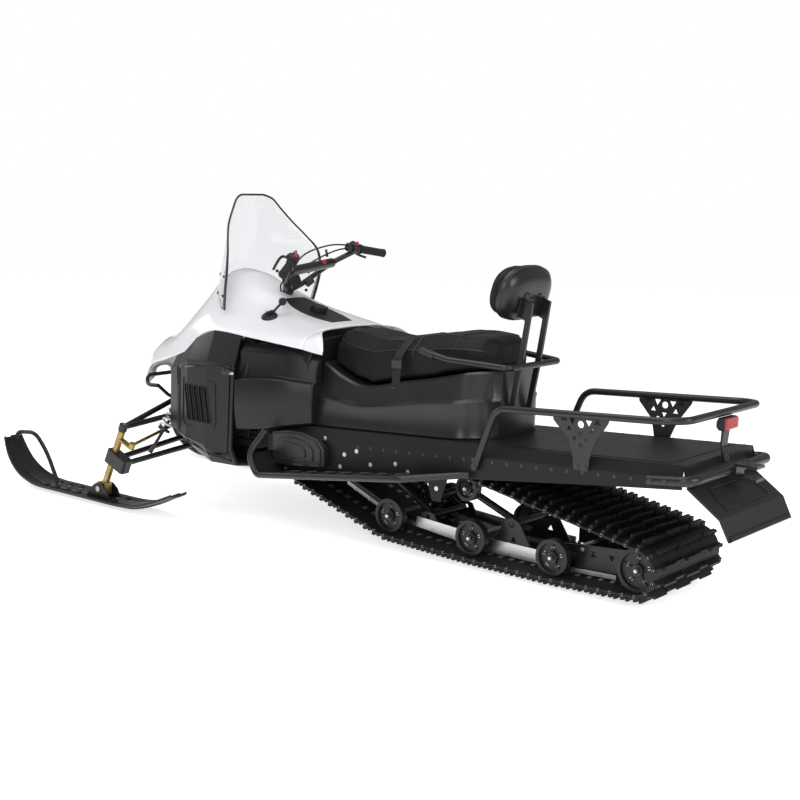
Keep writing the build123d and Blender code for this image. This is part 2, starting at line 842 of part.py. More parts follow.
grip_ends = [
    (bars(-grip_back, sign * (grip_half_span - grip_length), grip_height),
     bars(-grip_back - grip_sweep, sign * grip_half_span, grip_height))
    for sign in (1, -1)
]
bar_tube = bent_rod(
    (
        grip_ends[0][1],
        grip_ends[0][0],
        bars(-grip_back / 2, bar_shoulder_y, bar_shoulder_height),
        bars(0, bar_shoulder_y / 3, bar_foot_height),
        bars(0, -bar_shoulder_y / 3, bar_foot_height),
        bars(-grip_back / 2, -bar_shoulder_y, bar_shoulder_height),
        grip_ends[1][0],
        grip_ends[1][1],
    ),
    bar_radius,
    bar_bend,
)
bar_pad = rod_between(
    bars(-grip_back / 2, bar_shoulder_y, bar_shoulder_height),
    bars(-grip_back / 2, -bar_shoulder_y, bar_shoulder_height),
    pad_radius,
)
bar_stem = rod_between(bars(0, 0, -stem_length / 4), bars(0, 0, bar_foot_height), stem_radius)
grip_rods = [rod_between(start, end, grip_radius) for start, end in grip_ends]
with BuildPart() as handlebar:
    add(bar_tube)
    add(bar_pad)
    add(bar_stem)
with BuildPart() as handlebar_grips:
    for rod in grip_rods:
        add(rod)
    add(bar_tube, mode=Mode.SUBTRACT)

collar_radius = 28
collar_low = -42
collar_high = 26
stem_hole = rod_between(bars(0, 0, -stem_length / 3), bars(0, 0, bar_foot_height), stem_radius + axle_fit)
stem_collar = rod_between(bars(0, 0, collar_low), bars(0, 0, collar_high), collar_radius)
with BuildPart() as hood_bored:
    add(hood.part)
    add(stem_collar)
    add(stem_hole, mode=Mode.SUBTRACT)

# Cargo rail: one bent tube over the deck with perforated plates at its sides
rail_tube_radius = 13
rail_half_width = 307
rail_front_foot = (812, 392)
rail_front_top = (724, 628)
rail_rear_y = 262
rail_rear = (-6, 678)
rail_corner = (60, 672)
rail_bend_radius = 52
rail_plate_thickness = 4
rail_plate_shares = ((0.0, 1.0), (1.0, 1.0), (0.64, 0.28), (0.60, 0.0), (0.40, 0.0), (0.36, 0.28))
rail_plate_length = 222
rail_plate_height = 188
rail_plate_place = 262
cargo_tube = bent_rod(
    (
        (ahead(rail_front_foot[0]), tunnel_half_width + rail_tube_radius, rail_front_foot[1]),
        (ahead(rail_front_top[0]), rail_half_width, rail_front_top[1]),
        (ahead(rail_corner[0]), rail_half_width, rail_corner[1]),
        (ahead(rail_rear[0]), rail_rear_y, rail_rear[1]),
        (ahead(rail_rear[0]), -rail_rear_y, rail_rear[1]),
        (ahead(rail_corner[0]), -rail_half_width, rail_corner[1]),
        (ahead(rail_front_top[0]), -rail_half_width, rail_front_top[1]),
        (ahead(rail_front_foot[0]), -tunnel_half_width - rail_tube_radius, rail_front_foot[1]),
    ),
    rail_tube_radius,
    (rail_bend_radius, rail_bend_radius / 2, rail_bend_radius / 2, rail_bend_radius / 2,
     rail_bend_radius / 2, rail_bend_radius),
)
with BuildPart() as cargo_rail:
    add(cargo_tube)
    for sign in (1, -1):
        with BuildSketch(side_plane(sign * (tunnel_half_width + seat_gap + rail_plate_thickness / 2))):
            with BuildLine():
                Polyline(
                    *[
                        (
                            ahead(rail_plate_place + x * rail_plate_length),
                            rail_corner[1] - rail_plate_height * (1 - z) - 2 * rail_tube_radius,
                        )
                        for x, z in rail_plate_shares
                    ],
                    close=True,
                )
            make_face()
        extrude(amount=rail_plate_thickness / 2, both=True)

# Rear bumper: thick tube round the tunnel's rear end
bumper_radius = 18
bumper_height = 486
bumper_front = 110
bumper_rear = -48
bumper_y = tunnel_half_width + seat_gap + bumper_radius
bumper_bend = 45
bumper_tube = bent_rod(
    (
        (ahead(bumper_front), bumper_y, bumper_height - bumper_radius),
        (ahead(bumper_rear), bumper_y, bumper_height),
        (ahead(bumper_rear), -bumper_y, bumper_height),
        (ahead(bumper_front), -bumper_y, bumper_height - bumper_radius),
    ),
    bumper_radius,
    bumper_bend,
)
with BuildPart() as rear_bumper:
    add(bumper_tube)

# Tow hitch: bracket with a pin bore, behind the tunnel
hitch_width = 64
hitch_length = 84
hitch_thickness = 10
hitch_gap = 34
hitch_bore_radius = 8
hitch_height = 486
hitch_rear = bumper_rear - bumper_radius - seat_gap - hitch_length
with BuildPart() as tow_hitch:
    for sign in (1, -1):
        with Locations((
            ahead(hitch_rear + hitch_length / 2), 0,
            hitch_height + sign * (hitch_gap + hitch_thickness) / 2,
        )):
            Box(hitch_length, hitch_width, hitch_thickness)
    with Locations((ahead(hitch_rear + hitch_length - hitch_thickness / 2), 0, hitch_height)):
        Box(hitch_thickness, hitch_width, hitch_gap + 2 * hitch_thickness)
    with Locations((ahead(hitch_rear + hitch_length / 4), 0, hitch_height)):
        Cylinder(hitch_bore_radius, hitch_gap + 4 * hitch_thickness, mode=Mode.SUBTRACT)

# Snow flap: rubber sheet hung behind the tunnel
flap_thickness = 6
flap_half_width = 250
flap_top_height = 476
flap_knee_height = 452
flap_top = (
    -seat_gap - (deck_rear_height - flap_top_height) * tan(radians(chassis_pitch)), flap_top_height
)
flap_knee = (
    -seat_gap - (deck_rear_height - flap_knee_height) * tan(radians(chassis_pitch)), flap_knee_height
)
flap_crease = (-133, 368)
flap_lip = (-flap_reach, 295)
with BuildPart() as snow_flap:
    with BuildSketch(Plane.XZ):
        with BuildLine():
            Polyline(
                (ahead(flap_top[0]), flap_top[1]),
                (ahead(flap_top[0] - flap_thickness), flap_top[1]),
                (ahead(flap_knee[0] - flap_thickness), flap_knee[1]),
                (ahead(flap_crease[0]), flap_crease[1]),
                (ahead(flap_lip[0]), flap_lip[1]),
                (ahead(flap_lip[0] + flap_thickness), flap_lip[1]),
                (ahead(flap_crease[0] + flap_thickness), flap_crease[1] - flap_thickness),
                (ahead(flap_knee[0]), flap_knee[1] - flap_thickness),
                close=True,
            )
        make_face()
    extrude(amount=flap_half_width, both=True)

# Tail lamp under the cargo rail
lamp_length = 34
lamp_width = 92
lamp_height = 44
lamp_place = (-20, rail_rear[1] - rail_tube_radius - seat_gap - lamp_height / 2)
with BuildPart() as tail_lamp:
    with Locations((ahead(lamp_place[0]), 0, lamp_place[1])):
        Box(lamp_length, lamp_width, lamp_height)

# Backrest: padded shell on two posts, and a grab bar round the seat
post_y = 60
post_width = 22
post_thickness = 6
post_foot = (base_rear - seat_gap, 575)
post_middle = (800, 752)
post_top = (768, 985)
post_neck = (776, 918)
bracket_foot = (801, 930)
bracket_head = (784, 998)
backrest_place = (832, 1015)
backrest_lean = 14
backrest_width = 330
backrest_height = 215
backrest_depth = 66
shell_depth = 48
bracket_width = 170
bracket_height = 74
bracket_drop = 42
bracket_thickness = 5
backrest_corner = 80
backrest_plane = Plane(
    origin=(ahead(backrest_place[0]), 0, backrest_place[1]),
    x_dir=(0, 1, 0),
    z_dir=(cos(radians(backrest_lean)), 0, sin(radians(backrest_lean))),
)
with BuildPart() as backrest_pad:
    with BuildSketch(backrest_plane):
        RectangleRounded(backrest_width, backrest_height, backrest_corner)
    extrude(amount=backrest_depth)
with BuildPart() as backrest_shell:
    with BuildSketch(backrest_plane.offset(-seat_gap)):
        RectangleRounded(backrest_width, backrest_height, backrest_corner)
    extrude(amount=-shell_depth)
with BuildPart() as backrest_posts:
    for sign in (1, -1):
        with BuildSketch(side_plane(sign * post_y)):
            with BuildLine():
                Polyline(
                    (ahead(post_foot[0]), post_foot[1]),
                    (ahead(post_middle[0]), post_middle[1]),
                    (ahead(post_neck[0]), post_neck[1]),
                    (ahead(bracket_foot[0]), bracket_foot[1]),
                    (ahead(bracket_head[0]), bracket_head[1]),
                    (ahead(post_top[0] - post_width), post_top[1]),
                    (ahead(post_middle[0] - post_width), post_middle[1]),
                    (ahead(post_foot[0] - post_width), post_foot[1]),
                    close=True,
                )
            make_face()
        extrude(amount=post_thickness, both=True)
    with BuildSketch(backrest_plane.offset(-shell_depth - 2 * seat_gap)):
        with Locations((0, -bracket_drop)):
            Rectangle(bracket_width, bracket_height)
    extrude(amount=-bracket_thickness)
grab_radius = 12
grab_front = (1130, 784)
grab_mid = (1000, 762)
grab_rear = (post_middle[0] - post_width - grab_radius - seat_gap, 752)
grab_half_width = 222
grab_rear_half = 172
grab_tube = bent_rod(
    (
        (ahead(grab_front[0]), grab_half_width, grab_front[1]),
        (ahead(grab_mid[0]), grab_half_width, grab_mid[1]),
        (ahead(grab_rear[0]), grab_rear_half, grab_rear[1]),
        (ahead(grab_rear[0]), -grab_rear_half, grab_rear[1]),
        (ahead(grab_mid[0]), -grab_half_width, grab_mid[1]),
        (ahead(grab_front[0]), -grab_half_width, grab_front[1]),
    ),
    grab_radius,
    (grab_half_width / 4, grab_half_width / 8, grab_half_width / 8, grab_half_width / 4),
)
with BuildPart() as grab_bar:
    add(grab_tube)

# Front suspension, left side: spindle on a raked kingpin, with arms, damper and tie rod
kingpin_foot = (2572, 62)
kingpin_top = (2462, 322)
stance_half = 500
kingpin_radius = 15
steer_arm_length = 78
steer_arm_width = 26
steer_arm_thickness = 8
steer_arm_share = 0.86
lower_joint_share = 0.62
upper_joint_share = 0.985
joint_gap = 0.3
kingpin_rise = kingpin_top[1] - kingpin_foot[1]
kingpin_run = kingpin_top[0] - kingpin_foot[0]
kingpin_direction = Vector(kingpin_run, 0, kingpin_rise).normalized()


def on_kingpin(share):
    """Point on the left kingpin's line, as a share of its length from the foot."""
    return (
        ahead(kingpin_foot[0] + share * kingpin_run),
        stance_half,
        kingpin_foot[1] + share * kingpin_rise,
    )


def kingpin_plane(share):
    """Plane across the left kingpin, with its first direction forward."""
    return Plane(
        origin=on_kingpin(share),
        x_dir=(kingpin_direction.Z, 0, -kingpin_direction.X),
        z_dir=kingpin_direction,
    )


ski_pin_radius = 8
ski_pin_place = kingpin_foot
foot_width = 40
foot_length = 52
foot_height = 50
stud_radius = 8
stud_reach_share = 1.13
kingpin_rod = rod_between(on_kingpin(0.02), on_kingpin(1), kingpin_radius)
kingpin_stud = rod_between(on_kingpin(1), on_kingpin(stud_reach_share), stud_radius)
steer_pin_radius = 6
steer_pin_length = 24
eye_radius = 14
eye_height = 18
steer_eye_plane = kingpin_plane(steer_arm_share)
with BuildPart() as spindle_left:
    add(kingpin_rod)
    add(kingpin_stud)
    with BuildSketch(steer_eye_plane):
        with Locations((-steer_arm_length / 2, 0)):
            SlotCenterToCenter(steer_arm_length, steer_arm_width)
    extrude(amount=steer_arm_thickness)
    with BuildSketch(steer_eye_plane):
        with Locations((-steer_arm_length, 0)):
            Circle(steer_pin_radius)
    extrude(amount=steer_arm_thickness + steer_pin_length)
    with Locations((ahead(ski_pin_place[0]), stance_half, ski_pin_place[1])):
        Box(foot_length, foot_width, foot_height)
    with BuildSketch(side_plane(stance_half)):
        with Locations((ahead(ski_pin_place[0]), ski_pin_place[1])):
            Circle(ski_pin_radius + axle_fit)
    extrude(amount=foot_width, both=True, mode=Mode.SUBTRACT)
with BuildPart() as spindle_right:
    mirror(spindle_left.part, about=Plane.XZ)

# Tie rod, left side: it turns on the steering arm's pin and ends short of the frame
tie_rod_radius = 7
tie_inner = (2519, 150, 300)
tie_plane = steer_eye_plane.offset(steer_arm_thickness + seat_gap)
tie_outer_point = tie_plane.from_local_coords((-steer_arm_length, 0, eye_height / 2))
tie_outer = (tie_outer_point.X, tie_outer_point.Y, tie_outer_point.Z)
tie_rod_run = rod_between(tie_outer, (ahead(tie_inner[0]), tie_inner[1], tie_inner[2]), tie_rod_radius)
with BuildPart() as tie_rod_left:
    with BuildSketch(tie_plane):
        with Locations((-steer_arm_length, 0)):
            Circle(eye_radius)
    extrude(amount=eye_height)
    add(tie_rod_run)
    with BuildSketch(tie_plane.offset(-eye_height)):
        with Locations((-steer_arm_length, 0)):
            Circle(steer_pin_radius + axle_fit)
    extrude(amount=3 * eye_height, mode=Mode.SUBTRACT)
with BuildPart() as tie_rod_right:
    mirror(tie_rod_left.part, about=Plane.XZ)

# Front frame: two side plates with cross tubes, ahead of the cowl
frame_plate_y = 100
cradle_front = 2380
cradle_width = 20
cradle_depth = 24
cradle_height = engine_place[1] - engine_height / 2 - seat_gap
cradle_drop = deck_height(tunnel_length) - cradle_height
cradle_clear = seat_gap - tunnel_length * (1 - pitch_cos) - cradle_drop * tan(radians(chassis_pitch))
frame_plate_thickness = 8
frame_tube_radius = 11
frame_outline = ((2353.2, 215), (2520, 225), (2585, 300), (2585, 420), (2500, 520), (2353.2, 560))
upper_arm_front = (2560, 405)
upper_arm_rear = (2472, 365)
lower_arm_front = (2500, 245)
lower_arm_rear = (2385, 238)
frame_ties = (upper_arm_front, upper_arm_rear, lower_arm_front, lower_arm_rear)
frame_rods = [
    rod_between(
        (ahead(place[0]), -frame_plate_y, place[1]), (ahead(place[0]), frame_plate_y, place[1]),
        frame_tube_radius,
    )
    for place in frame_ties
]
damper_cross = rod_between((ahead(2386), -215, 510), (ahead(2386), 215, 510), frame_tube_radius)
with BuildPart() as front_frame:
    for sign in (1, -1):
        with BuildSketch(side_plane(sign * frame_plate_y)):
            with BuildLine():
                Polyline(*[(ahead(x), z) for x, z in frame_outline], close=True)
            make_face()
        extrude(amount=frame_plate_thickness / 2, both=True)
    for rod in frame_rods:
        add(rod)
    add(damper_cross)
    for sign in (1, -1):
        with Locations((
            (ahead(tunnel_length) + cradle_clear + ahead(cradle_front)) / 2,
            sign * frame_plate_y,
            cradle_height - cradle_depth / 2,
        )):
            Box(
                ahead(cradle_front) - ahead(tunnel_length) - cradle_clear,
                cradle_width,
                cradle_depth,
            )

# Suspension arms, left side: forked tubes from the front frame to the kingpin
arm_tube_radius = 12
arm_inner_y = frame_plate_y + frame_plate_thickness / 2 + seat_gap
guard_share = 0.55
guard_length = 118
guard_width = 54
guard_height = 58
guard_front = 28
upper_eye_share = 1.02
upper_eye_radius = 19
upper_eye_height = 26


def arm_run(place, outer):
    """Leg of an arm, from a pivot on the front frame's side to the arm's outer end."""
    return rod_between((ahead(place[0]), arm_inner_y, place[1]), outer, arm_tube_radius)


with BuildPart() as frame_side_cut:
    with Locations((ahead(lower_arm_front[0]), 0, lower_arm_front[1])):
        Box(guard_length * 4, 2 * arm_inner_y, guard_length * 4)
guard_plane = kingpin_plane(guard_share)
guard_back = guard_plane.from_local_coords((guard_front - guard_length * 3 / 4, 0, 0))
guard_middle = guard_plane.from_local_coords((-kingpin_radius, 0, 0))
lower_arm_legs = [
    arm_run(lower_arm_front, (guard_middle.X, guard_middle.Y, guard_middle.Z)),
    arm_run(lower_arm_rear, (guard_back.X, guard_back.Y, guard_back.Z)),
]
with BuildPart() as lower_arms:
    with BuildSketch(guard_plane.offset(-guard_height / 2)):
        with Locations((guard_front - guard_length / 2, 0)):
            RectangleRounded(guard_length, guard_width, guard_width / 4)
    extrude(amount=guard_height)
    for leg in lower_arm_legs:
        add(leg)
    with BuildSketch(guard_plane.offset(-guard_height)):
        Circle(kingpin_radius + joint_gap)
    extrude(amount=2 * guard_height, mode=Mode.SUBTRACT)
    add(frame_side_cut.part, mode=Mode.SUBTRACT)
    mirror(about=Plane.XZ)
upper_eye_plane = kingpin_plane(upper_eye_share)
upper_eye_point = upper_eye_plane.from_local_coords((0, 0, upper_eye_height / 2))
upper_arm_legs = [
    arm_run(place, (upper_eye_point.X, upper_eye_point.Y, upper_eye_point.Z))
    for place in (upper_arm_front, upper_arm_rear)
]
with BuildPart() as upper_arms:
    with BuildSketch(upper_eye_plane):
        Circle(upper_eye_radius)
    extrude(amount=upper_eye_height)
    for leg in upper_arm_legs:
        add(leg)
    with BuildSketch(kingpin_plane(1)):
        Circle(stud_radius + joint_gap)
    extrude(amount=kingpin_rise, mode=Mode.SUBTRACT)
    with BuildSketch(upper_eye_plane):
        Circle(upper_eye_radius + overrun)
    extrude(amount=-upper_eye_height, mode=Mode.SUBTRACT)
    add(frame_side_cut.part, mode=Mode.SUBTRACT)
    mirror(about=Plane.XZ)

# Front dampers with their coil springs
front_damper_top = (ahead(2386), 190, 486)
front_damper_foot = (ahead(2430), 372, 217.2)
front_damper_body = damper(front_damper_top, front_damper_foot, 0.35, 7)
with BuildPart() as front_dampers:
    add(front_damper_body)
    mirror(about=Plane.XZ)

# Skis: moulded runner with raised ribs, pin ears and a loop handle at the tip
ski_tail = (2116, 96)
ski_tip_x = overall_length - flap_reach
ski_width = 150
ski_wall = 12
ear_thickness = 8
ear_gap = 5
ear_length = 90
ear_height = 62
loop_radius = 9
ski_profile = (
    (2116, 96), (2272, 30), (2352, 8), (2420, 0), (2940, 0), (3075, 34), (3150, 96), (3200, 190),
    (3186, 200), (3120, 110), (3060, 56), (2930, 18), (2430, 18), (2280, 46), (2116, 104),
)
ski_loop = bent_rod(
    (
        (ahead(2850), stance_half, 16),
        (ahead(2950), stance_half, 168),
        (ahead(3030), stance_half, 236),
        (ahead(3150), stance_half, 222),
        (ahead(3168), stance_half, 180),
    ),
    loop_radius,
    (60, 40, 40),
)
with BuildPart() as ski_left:
    with BuildSketch(side_plane(stance_half)):
        with BuildLine():
            Polyline(*[(ahead(x), z) for x, z in ski_profile], close=True)
        make_face()
    extrude(amount=ski_width / 2, both=True)
    add(ski_loop)
    for sign in (1, -1):
        with Locations((
            ahead(ski_pin_place[0]),
            stance_half + sign * (foot_width / 2 + ear_gap + ear_thickness / 2),
            ski_pin_place[1] - ear_height / 2 + 2 * ski_pin_radius,
        )):
            Box(ear_length, ear_thickness, ear_height)
    with BuildSketch(side_plane(stance_half)):
        with Locations((ahead(ski_pin_place[0]), ski_pin_place[1])):
            Circle(ski_pin_radius)
    extrude(amount=foot_width / 2 + ear_gap + ear_thickness, both=True)
with BuildPart() as ski_right:
    mirror(ski_left.part, about=Plane.XZ)

# Fuel cap and gear lever on the hood
cap_radius = 34
cap_height = 22
cap_distance = 1828


def hood_top(distance):
    """Height of the hood's flat middle at a place along the machine, and its slope."""
    share = (distance - body_rear) / body_length
    for rear_row, front_row in zip(hood_shares, hood_shares[1:]):
        if rear_row[0] <= share <= front_row[0]:
            rise = (front_row[-1][1] - rear_row[-1][1]) * body_height
            run = (front_row[0] - rear_row[0]) * body_length
            low = rear_row[-1][1] * body_height
            return (low + rise / run * (share - rear_row[0]) * body_length, rise / run)
    return (body_height, 0)


cap_floor, cap_slope = hood_top(cap_distance)
lever_foot = (1903, 215, 840)
lever_top = (1866, 180, 900)
knob_radius = 16
lever_radius = 5
lever_rod = rod_between(
    (ahead(lever_foot[0]), lever_foot[1], lever_foot[2]),
    (ahead(lever_top[0]), lever_top[1], lever_top[2]),
    lever_radius,
)
with BuildPart() as fuel_cap:
    with BuildSketch(Plane(origin=(ahead(cap_distance), 0, cap_floor), z_dir=(-cap_slope, 0, 1)).offset(seat_gap)):
        Circle(cap_radius)
    extrude(amount=cap_height)
with BuildPart() as gear_lever:
    add(lever_rod)
    with Locations((ahead(lever_top[0]), lever_top[1], lever_top[2])):
        Sphere(knob_radius)

pieces = {
    "tunnel": tunnel.part,
    "track": track.part,
    "track_wheels": track_wheels.part,
    "suspension_axles": suspension_axles.part,
    "drive_sprockets": drive_sprockets.part,
    "slide_rails": slide_rails.part,
    "skid_arms": skid_arms.part,
    "running_board_left": running_board_left.part,
    "running_board_right": running_board_right.part,
    "hood": hood_bored.part,
    "lower_cowl": lower_cowl.part,
    "access_door_left": access_door_left.part,
    "access_door_right": access_door_right.part,
    "engine_block": engine_block.part,
    "side_pod_left": side_pod_left.part,
    "side_pod_right": side_pod_right.part,
    "seat_base": seat_base.part,
    "seat_cushion": seat_cushion.part,
    "windshield": windshield.part,
    "handlebar": handlebar.part,
    "handlebar_grips": handlebar_grips.part,
    "cargo_rail": cargo_rail.part,
    "rear_bumper": rear_bumper.part,
    "tow_hitch": tow_hitch.part,
    "snow_flap": snow_flap.part,
    "tail_lamp": tail_lamp.part,
    "backrest_pad": backrest_pad.part,
    "backrest_shell": backrest_shell.part,
    "backrest_posts": backrest_posts.part,
    "grab_bar": grab_bar.part,
    "spindle_left": spindle_left.part,
    "spindle_right": spindle_right.part,
    "ski_left": ski_left.part,
    "ski_right": ski_right.part,
    "tie_rod_left": tie_rod_left.part,
    "tie_rod_right": tie_rod_right.part,
    "front_frame": front_frame.part,
    "lower_arms": lower_arms.part,
    "upper_arms": upper_arms.part,
    "front_dampers": front_dampers.part,
    "fuel_cap": fuel_cap.part,
    "gear_lever": gear_lever.part,
}
for name, piece in pieces.items():
    piece.label = name
    export_step(piece, f"parts/{name}.step")
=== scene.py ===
"""Looks of a utility snowmobile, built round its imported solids. X is forward, Z is up, in metres."""
from math import cos, pi, radians, sin, sqrt, tan

import bmesh
import bpy
from mathutils import Matrix, Vector
from mathutils.bvhtree import BVHTree


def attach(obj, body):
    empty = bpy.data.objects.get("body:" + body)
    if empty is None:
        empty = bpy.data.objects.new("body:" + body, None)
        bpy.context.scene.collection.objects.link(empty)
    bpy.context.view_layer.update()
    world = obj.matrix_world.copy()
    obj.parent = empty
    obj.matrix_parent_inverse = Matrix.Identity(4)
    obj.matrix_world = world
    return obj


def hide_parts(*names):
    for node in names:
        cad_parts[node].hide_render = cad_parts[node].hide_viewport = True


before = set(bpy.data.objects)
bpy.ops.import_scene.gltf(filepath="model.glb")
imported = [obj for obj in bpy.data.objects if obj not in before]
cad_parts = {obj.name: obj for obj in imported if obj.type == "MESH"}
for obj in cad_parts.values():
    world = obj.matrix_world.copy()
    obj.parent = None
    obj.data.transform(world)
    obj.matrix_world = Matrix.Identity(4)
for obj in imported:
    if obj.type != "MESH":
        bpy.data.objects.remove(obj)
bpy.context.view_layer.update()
scene = bpy.context.scene

# The photographer's lens: it stands to the machine's left and behind the skis, a little
# above the seat, and looks slightly down with a small tilt of the picture.
lens_place = Vector((-3.6273, 4.5675, 1.4819))
lens_turn = -0.9170
lens_dip = 0.1624
lens_roll = 0.0366
lens_pixels = 1463.06
frame_pixels = 800
film_width = 36.0
lens = bpy.data.cameras.new("photo_lens")
lens.lens = lens_pixels / frame_pixels * film_width
lens.sensor_width = film_width
lens.clip_end = 60
camera = bpy.data.objects.new("photo_camera", lens)
scene.collection.objects.link(camera)
look = Vector((cos(lens_turn) * cos(lens_dip), sin(lens_turn) * cos(lens_dip), -sin(lens_dip)))
level = look.cross(Vector((0, 0, 1))).normalized()
upright = level.cross(look)
right = level * cos(lens_roll) + upright * sin(lens_roll)
over = upright * cos(lens_roll) - level * sin(lens_roll)
camera.matrix_world = Matrix((
    (right.x, over.x, -look.x, lens_place.x),
    (right.y, over.y, -look.y, lens_place.y),
    (right.z, over.z, -look.z, lens_place.z),
    (0, 0, 0, 1),
))
scene.camera = camera


# Floor and studio light: one white sheet under a white room, with broad soft lamps over and
# behind the machine. They are not part of the machine.
class Wire:
    """One shader socket that adds its maths nodes when it is used in an expression."""

    def __init__(self, tree, socket):
        self.tree = tree
        self.socket = socket

    def maths(self, operation, *others):
        made = self.tree.nodes.new("ShaderNodeMath")
        made.operation = operation
        for place, value in enumerate((self, *others)):
            plug(self.tree, made.inputs[place], value)
        return Wire(self.tree, made.outputs[0])

    def __add__(self, other):
        return self.maths("ADD", other)

    __radd__ = __add__

    def __sub__(self, other):
        return self.maths("SUBTRACT", other)

    def __rsub__(self, other):
        return (self * -1) + other

    def __mul__(self, other):
        return self.maths("MULTIPLY", other)

    __rmul__ = __mul__


def plug(tree, entry, value):
    """Feeds a socket with a wire, or sets its own value."""
    if isinstance(value, Wire):
        tree.links.new(value.socket, entry)
    else:
        entry.default_value = value


def make_node(tree, kind, settings=None, **inputs):
    """Any node by its type, with its settings made first and then its sockets by name."""
    made = tree.nodes.new(kind)
    for name, value in (settings or {}).items():
        setattr(made, name, value)
    for name, value in inputs.items():
        plug(tree, made.inputs[name.replace("_", " ")], value)
    return made


class Finish:
    """A new material with one Principled shader, whose sockets are set or fed by name."""

    def __init__(self, name, colour, roughness, metallic=0.0, **sockets):
        self.material = bpy.data.materials.new(name)
        self.material.use_nodes = True
        self.tree = self.material.node_tree
        self.shader = self.tree.nodes["Principled BSDF"]
        self.shader.inputs["Base Color"].default_value = (*colour, 1)
        self.shader.inputs["Roughness"].default_value = roughness
        self.shader.inputs["Metallic"].default_value = metallic
        for name_of, value in sockets.items():
            self.shader.inputs[name_of.replace("_", " ")].default_value = value
        self.place = Wire(self.tree, self.make("ShaderNodeTexCoord").outputs["Object"])

    def make(self, kind, settings=None, **inputs):
        return make_node(self.tree, kind, settings, **inputs)

    def feed(self, name, value):
        plug(self.tree, self.shader.inputs[name], value)

    def noise(self, scale, detail=4.0, roughness=0.6):
        made = self.make("ShaderNodeTexNoise", None, Vector=self.place, Scale=scale, Detail=detail,
                         Roughness=roughness)
        return Wire(self.tree, made.outputs["Fac"])

    def cells(self, scale, feature="F1"):
        made = self.make("ShaderNodeTexVoronoi", {"feature": feature}, Vector=self.place, Scale=scale)
        return Wire(self.tree, made.outputs["Distance"])

    def ramp(self, factor, *stops):
        made = self.make("ShaderNodeValToRGB", None, Fac=factor)
        band = made.color_ramp
        band.elements[0].position, band.elements[0].color = stops[0][0], (*stops[0][1], 1)
        band.elements[1].position, band.elements[1].color = stops[-1][0], (*stops[-1][1], 1)
        for position, colour in stops[1:-1]:
            band.elements.new(position).color = (*colour, 1)
        return Wire(self.tree, made.outputs["Color"])

    def bump(self, height, strength, distance):
        made = self.make("ShaderNodeBump", None, Height=height, Strength=strength, Distance=distance)
        self.feed("Normal", Wire(self.tree, made.outputs["Normal"]))

    def coat(self, *names):
        for name in names:
            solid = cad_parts.get(name)
            if solid:
                solid.data.materials.clear()
                solid.data.materials.append(self.material)


floor_size = 60
floor_mesh = bmesh.new()
bmesh.ops.create_grid(floor_mesh, x_segments=1, y_segments=1, size=floor_size)
floor_data = bpy.data.meshes.new("studio_floor")
floor_mesh.to_mesh(floor_data)
floor = bpy.data.objects.new("studio_floor", floor_data)
scene.collection.objects.link(floor)
floor_paper = Finish("studio_floor_paper", (0.9, 0.9, 0.9), 0.9, Specular_IOR_Level=0.0)
floor_paper.shader.inputs["Emission Color"].default_value = (1, 1, 1, 1)
floor_paper.shader.inputs["Emission Strength"].default_value = 0.7
floor_data.materials.append(floor_paper.material)
world = bpy.data.worlds.new("studio_air")
world.use_nodes = True
air = world.node_tree
air.nodes["Background"].inputs["Color"].default_value = (1, 1, 1, 1)
seen = make_node(air, "ShaderNodeLightPath").outputs["Is Camera Ray"]
room_light = 0.32
plug(air, air.nodes["Background"].inputs["Strength"], Wire(air, seen) * (1 - room_light) + room_light)
scene.world = world
scene.view_settings.view_transform = "Standard"
for name, place, target, size, watts in (
    ("over_lamp", (0.0, 0.6, 4.0), (0, 0, 0.5), 3.2, 90),
    ("left_lamp", (-2.4, 5.2, 2.8), (0, 0, 0.5), 2.2, 90),
    ("rear_lamp", (-5.0, 0.5, 2.6), (0, 0, 0.5), 2.0, 90),
    ("front_lamp", (4.5, 1.5, 2.8), (0, 0, 0.5), 2.6, 50),
):
    lamp_data = bpy.data.lights.new(name, "AREA")
    lamp_data.energy = watts
    lamp_data.size = size
    lamp = bpy.data.objects.new(name, lamp_data)
    lamp.location = place
    lamp.rotation_euler = (Vector(target) - Vector(place)).to_track_quat("-Z", "Y").to_euler()
    scene.collection.objects.link(lamp)

# Tunnel: one folded sheet of steel that carries the deck, the seat and the rear suspension.
# It has a fine black powder coat, with rows of black rivets and zinc bolts at its sides.
rear_to_middle = 1515
tunnel_side = 285.2
deck_height = 527
tunnel_drop = tan(radians(3.4))


def at(distance, y, z):
    """Point in metres, from millimetres ahead of the deck's rear edge, left and up."""
    return Vector(((distance - rear_to_middle) / 1000, y / 1000, z / 1000))


def both(parts):
    """The given meshes and their copies on the machine's other side."""
    flipped = [([Vector((p.x, -p.y, p.z)) for p in points], [list(reversed(face)) for face in faces])
               for points, faces in parts]
    return list(parts) + flipped


def piece(name, finish, body, parts, stands_for=(), crisp=35.0, edge=0.0):
    """One object from meshes given as points and faces, riding on its body."""
    made = bmesh.new()
    for points, faces in parts:
        corners = [made.verts.new(point) for point in points]
        for face in faces:
            made.faces.new([corners[place] for place in face])
    bmesh.ops.remove_doubles(made, verts=made.verts, dist=1e-6)
    bmesh.ops.recalc_face_normals(made, faces=made.faces)
    mesh = bpy.data.meshes.new(name)
    made.to_mesh(mesh)
    made.free()
    mesh.materials.append(finish.material)
    mesh.shade_smooth()
    mesh.set_sharp_from_angle(angle=radians(crisp))
    item = bpy.data.objects.new(name, mesh)
    scene.collection.objects.link(item)
    if edge:
        rounding = item.modifiers.new("rounded_edge", "BEVEL")
        rounding.width = edge
        rounding.segments = 2
        rounding.limit_method = "ANGLE"
    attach(item, body)
    if stands_for:
        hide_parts(*stands_for)
    return item


